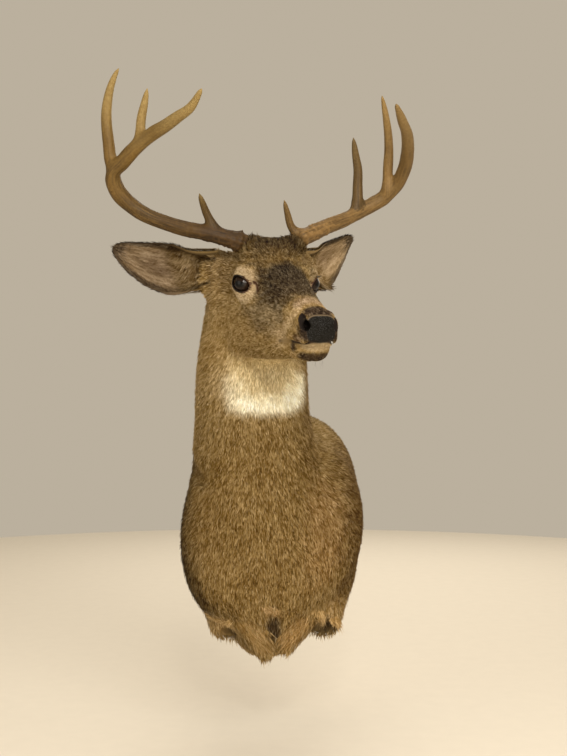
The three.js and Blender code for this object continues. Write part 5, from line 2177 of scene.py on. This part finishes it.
def smooth_joins(surface: Surface, labels: Array, reach: float, rounds: int) -> Surface:
    """Rounds a surface where parts of it meet.

    Args:
        surface: the whole surface.
        labels: which part each point belongs to.
        reach: how far from the join it is rounded, in millimetres.
        rounds: how often each point moves towards the middle of its neighbours.

    Returns:
        The rounded surface.
    """
    tri = surface.triangles
    ends = np.concatenate([tri[:, [0, 1]], tri[:, [1, 2]], tri[:, [2, 0]]])
    ends = np.concatenate([ends, ends[:, ::-1]])
    seam = surface.points[np.unique(ends[labels[ends[:, 0]] != labels[ends[:, 1]]])]
    tree = KDTree(len(seam))
    for i, point in enumerate(seam):
        tree.insert(point, i)
    tree.balance()
    away = np.array([tree.find(point)[2] for point in surface.points])
    share = 0.6 * np.exp(-((away / reach) ** 2))[:, None]
    count = np.bincount(ends[:, 0], minlength=len(away))[:, None]
    points = surface.points
    for _ in range(rounds):
        near = points[ends[:, 1]]
        total = np.stack([np.bincount(ends[:, 0], near[:, i], len(away)) for i in range(3)], -1)
        points = points + (total / count - points) * share
    return Surface(points, tri)


def nearest_values(points: Array, values: Array, wanted: Array) -> Array:
    """Values of the nearest known point for each wanted place."""
    tree = KDTree(len(points))
    for i, point in enumerate(points):
        tree.insert(point, i)
    tree.balance()
    return values[[tree.find(place)[1] for place in wanted]]


# painted light and shade: the two antlers' colours and their tines' tones differ for how the light falls on
# each
ANTLERS = (
    Antler(
        Side.RIGHT,
        ((-44, -36, 56), (-67, -40, 62), (-98, -49, 69), (-130, -62, 73), (-159, -75, 80),
         (-190, -86, 91), (-216, -91, 108), (-235, -91, 129), (-241, -85, 153), (-229, -73, 170),
         (-213, -56, 194), (-196, -33, 213), (-184, -7, 226), (-172, 16, 240), (-160, 38, 254),
         (-152, 63, 280)),
        (
            Tine(((-83, -44, 64), (-91, -47, 76), (-102, -52, 98), (-111, -49, 116),
                  (-118, -43, 129)), 0.8, 0.6),
            Tine(((-238, -87, 147), (-244, -89, 169), (-248, -93, 199), (-251, -97, 236),
                  (-248, -93, 269), (-243, -86, 290), (-238, -79, 303)), 1.0),
            Tine(((-216, -58, 188), (-210, -52, 204), (-208, -54, 232), (-205, -50, 255),
                  (-203, -43, 277)), 0.85),
        ),
    ),
    Antler(
        Side.LEFT,
        ((43, -39, 59), (51, -42, 65), (74, -53, 72), (100, -64, 81), (141, -79, 93),
         (180, -91, 110), (212, -88, 130), (227, -75, 154), (228, -54, 181), (217, -27, 210),
         (200, 0, 234), (178, 24, 254), (153, 48, 278)),
        (
            Tine(((55, -44, 63), (45, -45, 71), (35, -46, 82), (25, -43, 106), (17, -37, 124)), 0.72, 0.85),
            Tine(((167, -86, 100), (166, -88, 114), (166, -95, 143), (165, -97, 172),
                  (158, -95, 196), (149, -89, 223)), 0.95, 0.58),
            Tine(((216, -82, 129), (214, -80, 145), (212, -82, 175), (211, -83, 207),
                  (205, -79, 235), (194, -70, 262), (180, -60, 291)), 0.9, 1.2),
        ),
        # painted light: paler at the base than the right antler
        tones=((110, 86, 51), (106, 84, 48), (125, 103, 64)),
    ),
)


# --- Eyes ---

@dataclass(frozen=True)
class GlassEye:
    """A glass eye: one ball with a raised front, painted with a dark iris and a long pupil."""

    side: Side
    form: EyeForm = EyeForm()
    rings: int = 40
    sides: int = 64
    front_rise: float = 0.9
    pupil: tuple = (8.2, 4.6)  # half width along the eye and half height
    iris: float = 11.5
    pupil_colour: Colour = (5, 4, 4)
    iris_colour: Colour = (34, 22, 14)
    edge_colour: Colour = (30, 20, 14)

    def build(self, material: Material) -> Piece:
        """The eye as one object in place of its node."""
        angle = np.linspace(0.02, np.pi - 0.02, self.rings)[:, None]
        turn = np.linspace(0, 2 * np.pi, self.sides, endpoint=False)[None]
        reach = self.form.radius + self.front_rise * (1 - ramp(angle, 0.15, 0.8))
        x = reach * np.sin(angle) * np.cos(turn)
        y = reach * np.sin(angle) * np.sin(turn)
        z = reach * np.cos(angle) + 0 * turn
        out = vec(*self.form.axis)
        front = vec(-out[1], out[0], 0)
        local = x[..., None] * front + y[..., None] * vec(0, 0, 1) + z[..., None] * out
        places = HEAD.leave((local + vec(*self.form.at)) * vec(self.side.value, 1, 1))
        piece = mesh_object(f"glass_eye_{self.side.name.lower()}", ring_surface(places))
        x, y, z = (np.append(v.ravel(), [0, 0]) for v in (x, y, z))
        pupil = np.hypot(x / self.pupil[0], y / self.pupil[1])
        away = np.hypot(x, y)
        rays = 0.5 + 0.5 * np.sin(np.arctan2(y, x) * 36)
        iris = linear(self.iris_colour) * (0.7 + 0.5 * rays[:, None])
        dark = linear(self.pupil_colour)
        colour = dark + (iris - dark) * ramp(pupil, 0.85, 1.25)[:, None]
        edge = ramp(away, self.iris, self.iris + 1.6)[:, None]
        colour = colour + (linear(self.edge_colour) - colour) * edge
        paint(piece, colour)
        dress(piece, material)
        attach(piece, "root")
        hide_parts(f"eye_{self.side.name.lower()}")
        return piece


# --- Studio ---

@dataclass(frozen=True)
class SoftLight:
    """A square soft light that looks at a place."""

    name: str
    at: Point
    towards: Point
    size: float
    watts: float
    tint: Point = (1, 0.93, 0.82)

    def build(self) -> None:
        """Adds the light."""
        light = bpy.data.lights.new(self.name, "AREA")
        light.size = self.size
        light.energy = self.watts
        light.color = self.tint
        lamp = bpy.data.objects.new(self.name, light)
        lamp.location = self.at
        way = Vector(self.towards) - Vector(self.at)
        lamp.rotation_euler = way.to_track_quat("-Z", "Y").to_euler()
        bpy.context.scene.collection.objects.link(lamp)


@dataclass(frozen=True)
class Studio:
    """Pale floor, pale surroundings, soft lights and the camera."""

    floor_drop: float = 0.16  # how far the floor lies under the mount
    floor_radius: float = 2.6
    camera_at: tuple = (0.0217, -2.06, 0.2773)
    lens: float = 52.0  # on a sensor 36 mm high
    lights: tuple = (
        SoftLight("key", (0.8, -2.5, 1.1), (0, -0.3, 0.2), 1.5, 63),
        SoftLight("fill", (-1.9, -2.0, 0.5), (0, -0.3, 0.2), 1.8, 15),
        SoftLight("low", (0.3, -2.3, -0.15), (0, -0.3, 0.2), 1.2, 8),
        SoftLight("catch", (0.1, -2.3, 1.1), (0, -0.35, 0.4), 0.2, 9),
        SoftLight("top", (0.1, -0.7, 2.4), (0, -0.3, 0.2), 1.4, 14),
        SoftLight("back", (0.4, 1.9, 1.4), (0, 0, 0.1), 1.8, 26),
    )

    def build(self) -> None:
        """Builds the surroundings."""
        scene = bpy.context.scene
        scene.view_settings.view_transform = "Standard"
        low = min(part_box(name)[0][2] for name in frame["nodes"])
        floor = mesh_object("floor", self.floor_disc(low / MM - self.floor_drop / MM), smooth=False)
        dress(floor, PlainFinish("floor_paint", (224, 216, 202), 0.9).material())
        world = bpy.data.worlds.new("surroundings")
        world.use_nodes = True
        world.node_tree.nodes["Background"].inputs["Color"].default_value = (0.80, 0.70, 0.55, 1)
        world.node_tree.nodes["Background"].inputs["Strength"].default_value = 0.62
        scene.world = world
        for light in self.lights:
            light.build()
        camera = bpy.data.cameras.new("camera")
        camera.sensor_fit = "VERTICAL"
        camera.sensor_height = 36
        camera.lens = self.lens
        eye = bpy.data.objects.new("camera", camera)
        eye.location = self.camera_at
        eye.rotation_euler = (np.pi / 2, 0, 0)
        scene.collection.objects.link(eye)
        scene.camera = eye

    def floor_disc(self, level: float) -> Surface:
        """A round floor at this height in millimetres."""
        turn = np.linspace(0, 2 * np.pi, 96, endpoint=False)
        rim = np.stack([np.cos(turn), np.sin(turn), 0 * turn], -1) * self.floor_radius / MM
        points = np.vstack([rim + vec(0, 0, level), vec(0, 0, level)])
        around = np.arange(96)
        triangles = np.stack([around, (around + 1) % 96, np.full(96, 96)], -1)
        return Surface(points, triangles)


# --- Assembly ---

PIECE_LIMIT = 48000  # locks in one piece of the coat


def build_coat(skin: SkinData) -> None:
    """Builds every piece of the coat."""
    coat = Coat()
    hide_hair = CoatFinish("coat_hair").material()
    ear_hair = CoatFinish("ear_hair").material()
    locks, region = coat.on_skin(skin)
    for kind in (Region.HEAD, Region.BODY):
        mine = np.flatnonzero(region == kind.value)
        mine = mine[np.argsort(locks.roots[mine, 2], kind="stable")]
        for i, part in enumerate(np.array_split(mine, len(mine) // PIECE_LIMIT + 1)):
            piece = locks.part(part).piece(f"coat_{kind.name.lower()}_{i + 1}", hide_hair, "hide")
            log.info("%s: %d locks", piece.name, len(part))
    for ear, kind in zip(EARS, (Region.EAR_RIGHT, Region.EAR_LEFT)):
        piece = coat.on_ear(ear, kind).piece(f"coat_{kind.name.lower()}", ear_hair, "ear")
        tell(piece)
    tufts = coat.in_tufts(skin).piece("coat_tufts", hide_hair, "hide")
    tell(tufts)
    lashes = coat.lashes(skin).piece("lashes_and_whiskers", CoatFinish("dark_hair").material(), "hide")
    tell(lashes)


def main() -> None:
    """Builds the mount, piece by piece."""
    logging.basicConfig(level=logging.INFO, format="%(name)s: %(message)s")
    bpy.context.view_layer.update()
    Studio().build()
    skin = Hide().build()
    piece = skin.piece()
    tell(piece)
    build_coat(skin)
    bone = AntlerFinish().material()
    for antler in ANTLERS:
        piece = antler.build(bone)
        tell(piece)
    glass = GlassEyeFinish().material()
    for side in Side:
        log.info("%s", GlassEye(side).build(glass).name)
    board = frame["nodes"]["back_board"]
    dress(board, PlywoodFinish().material())
    tell(board)


if __name__ == "__main__":
    main()
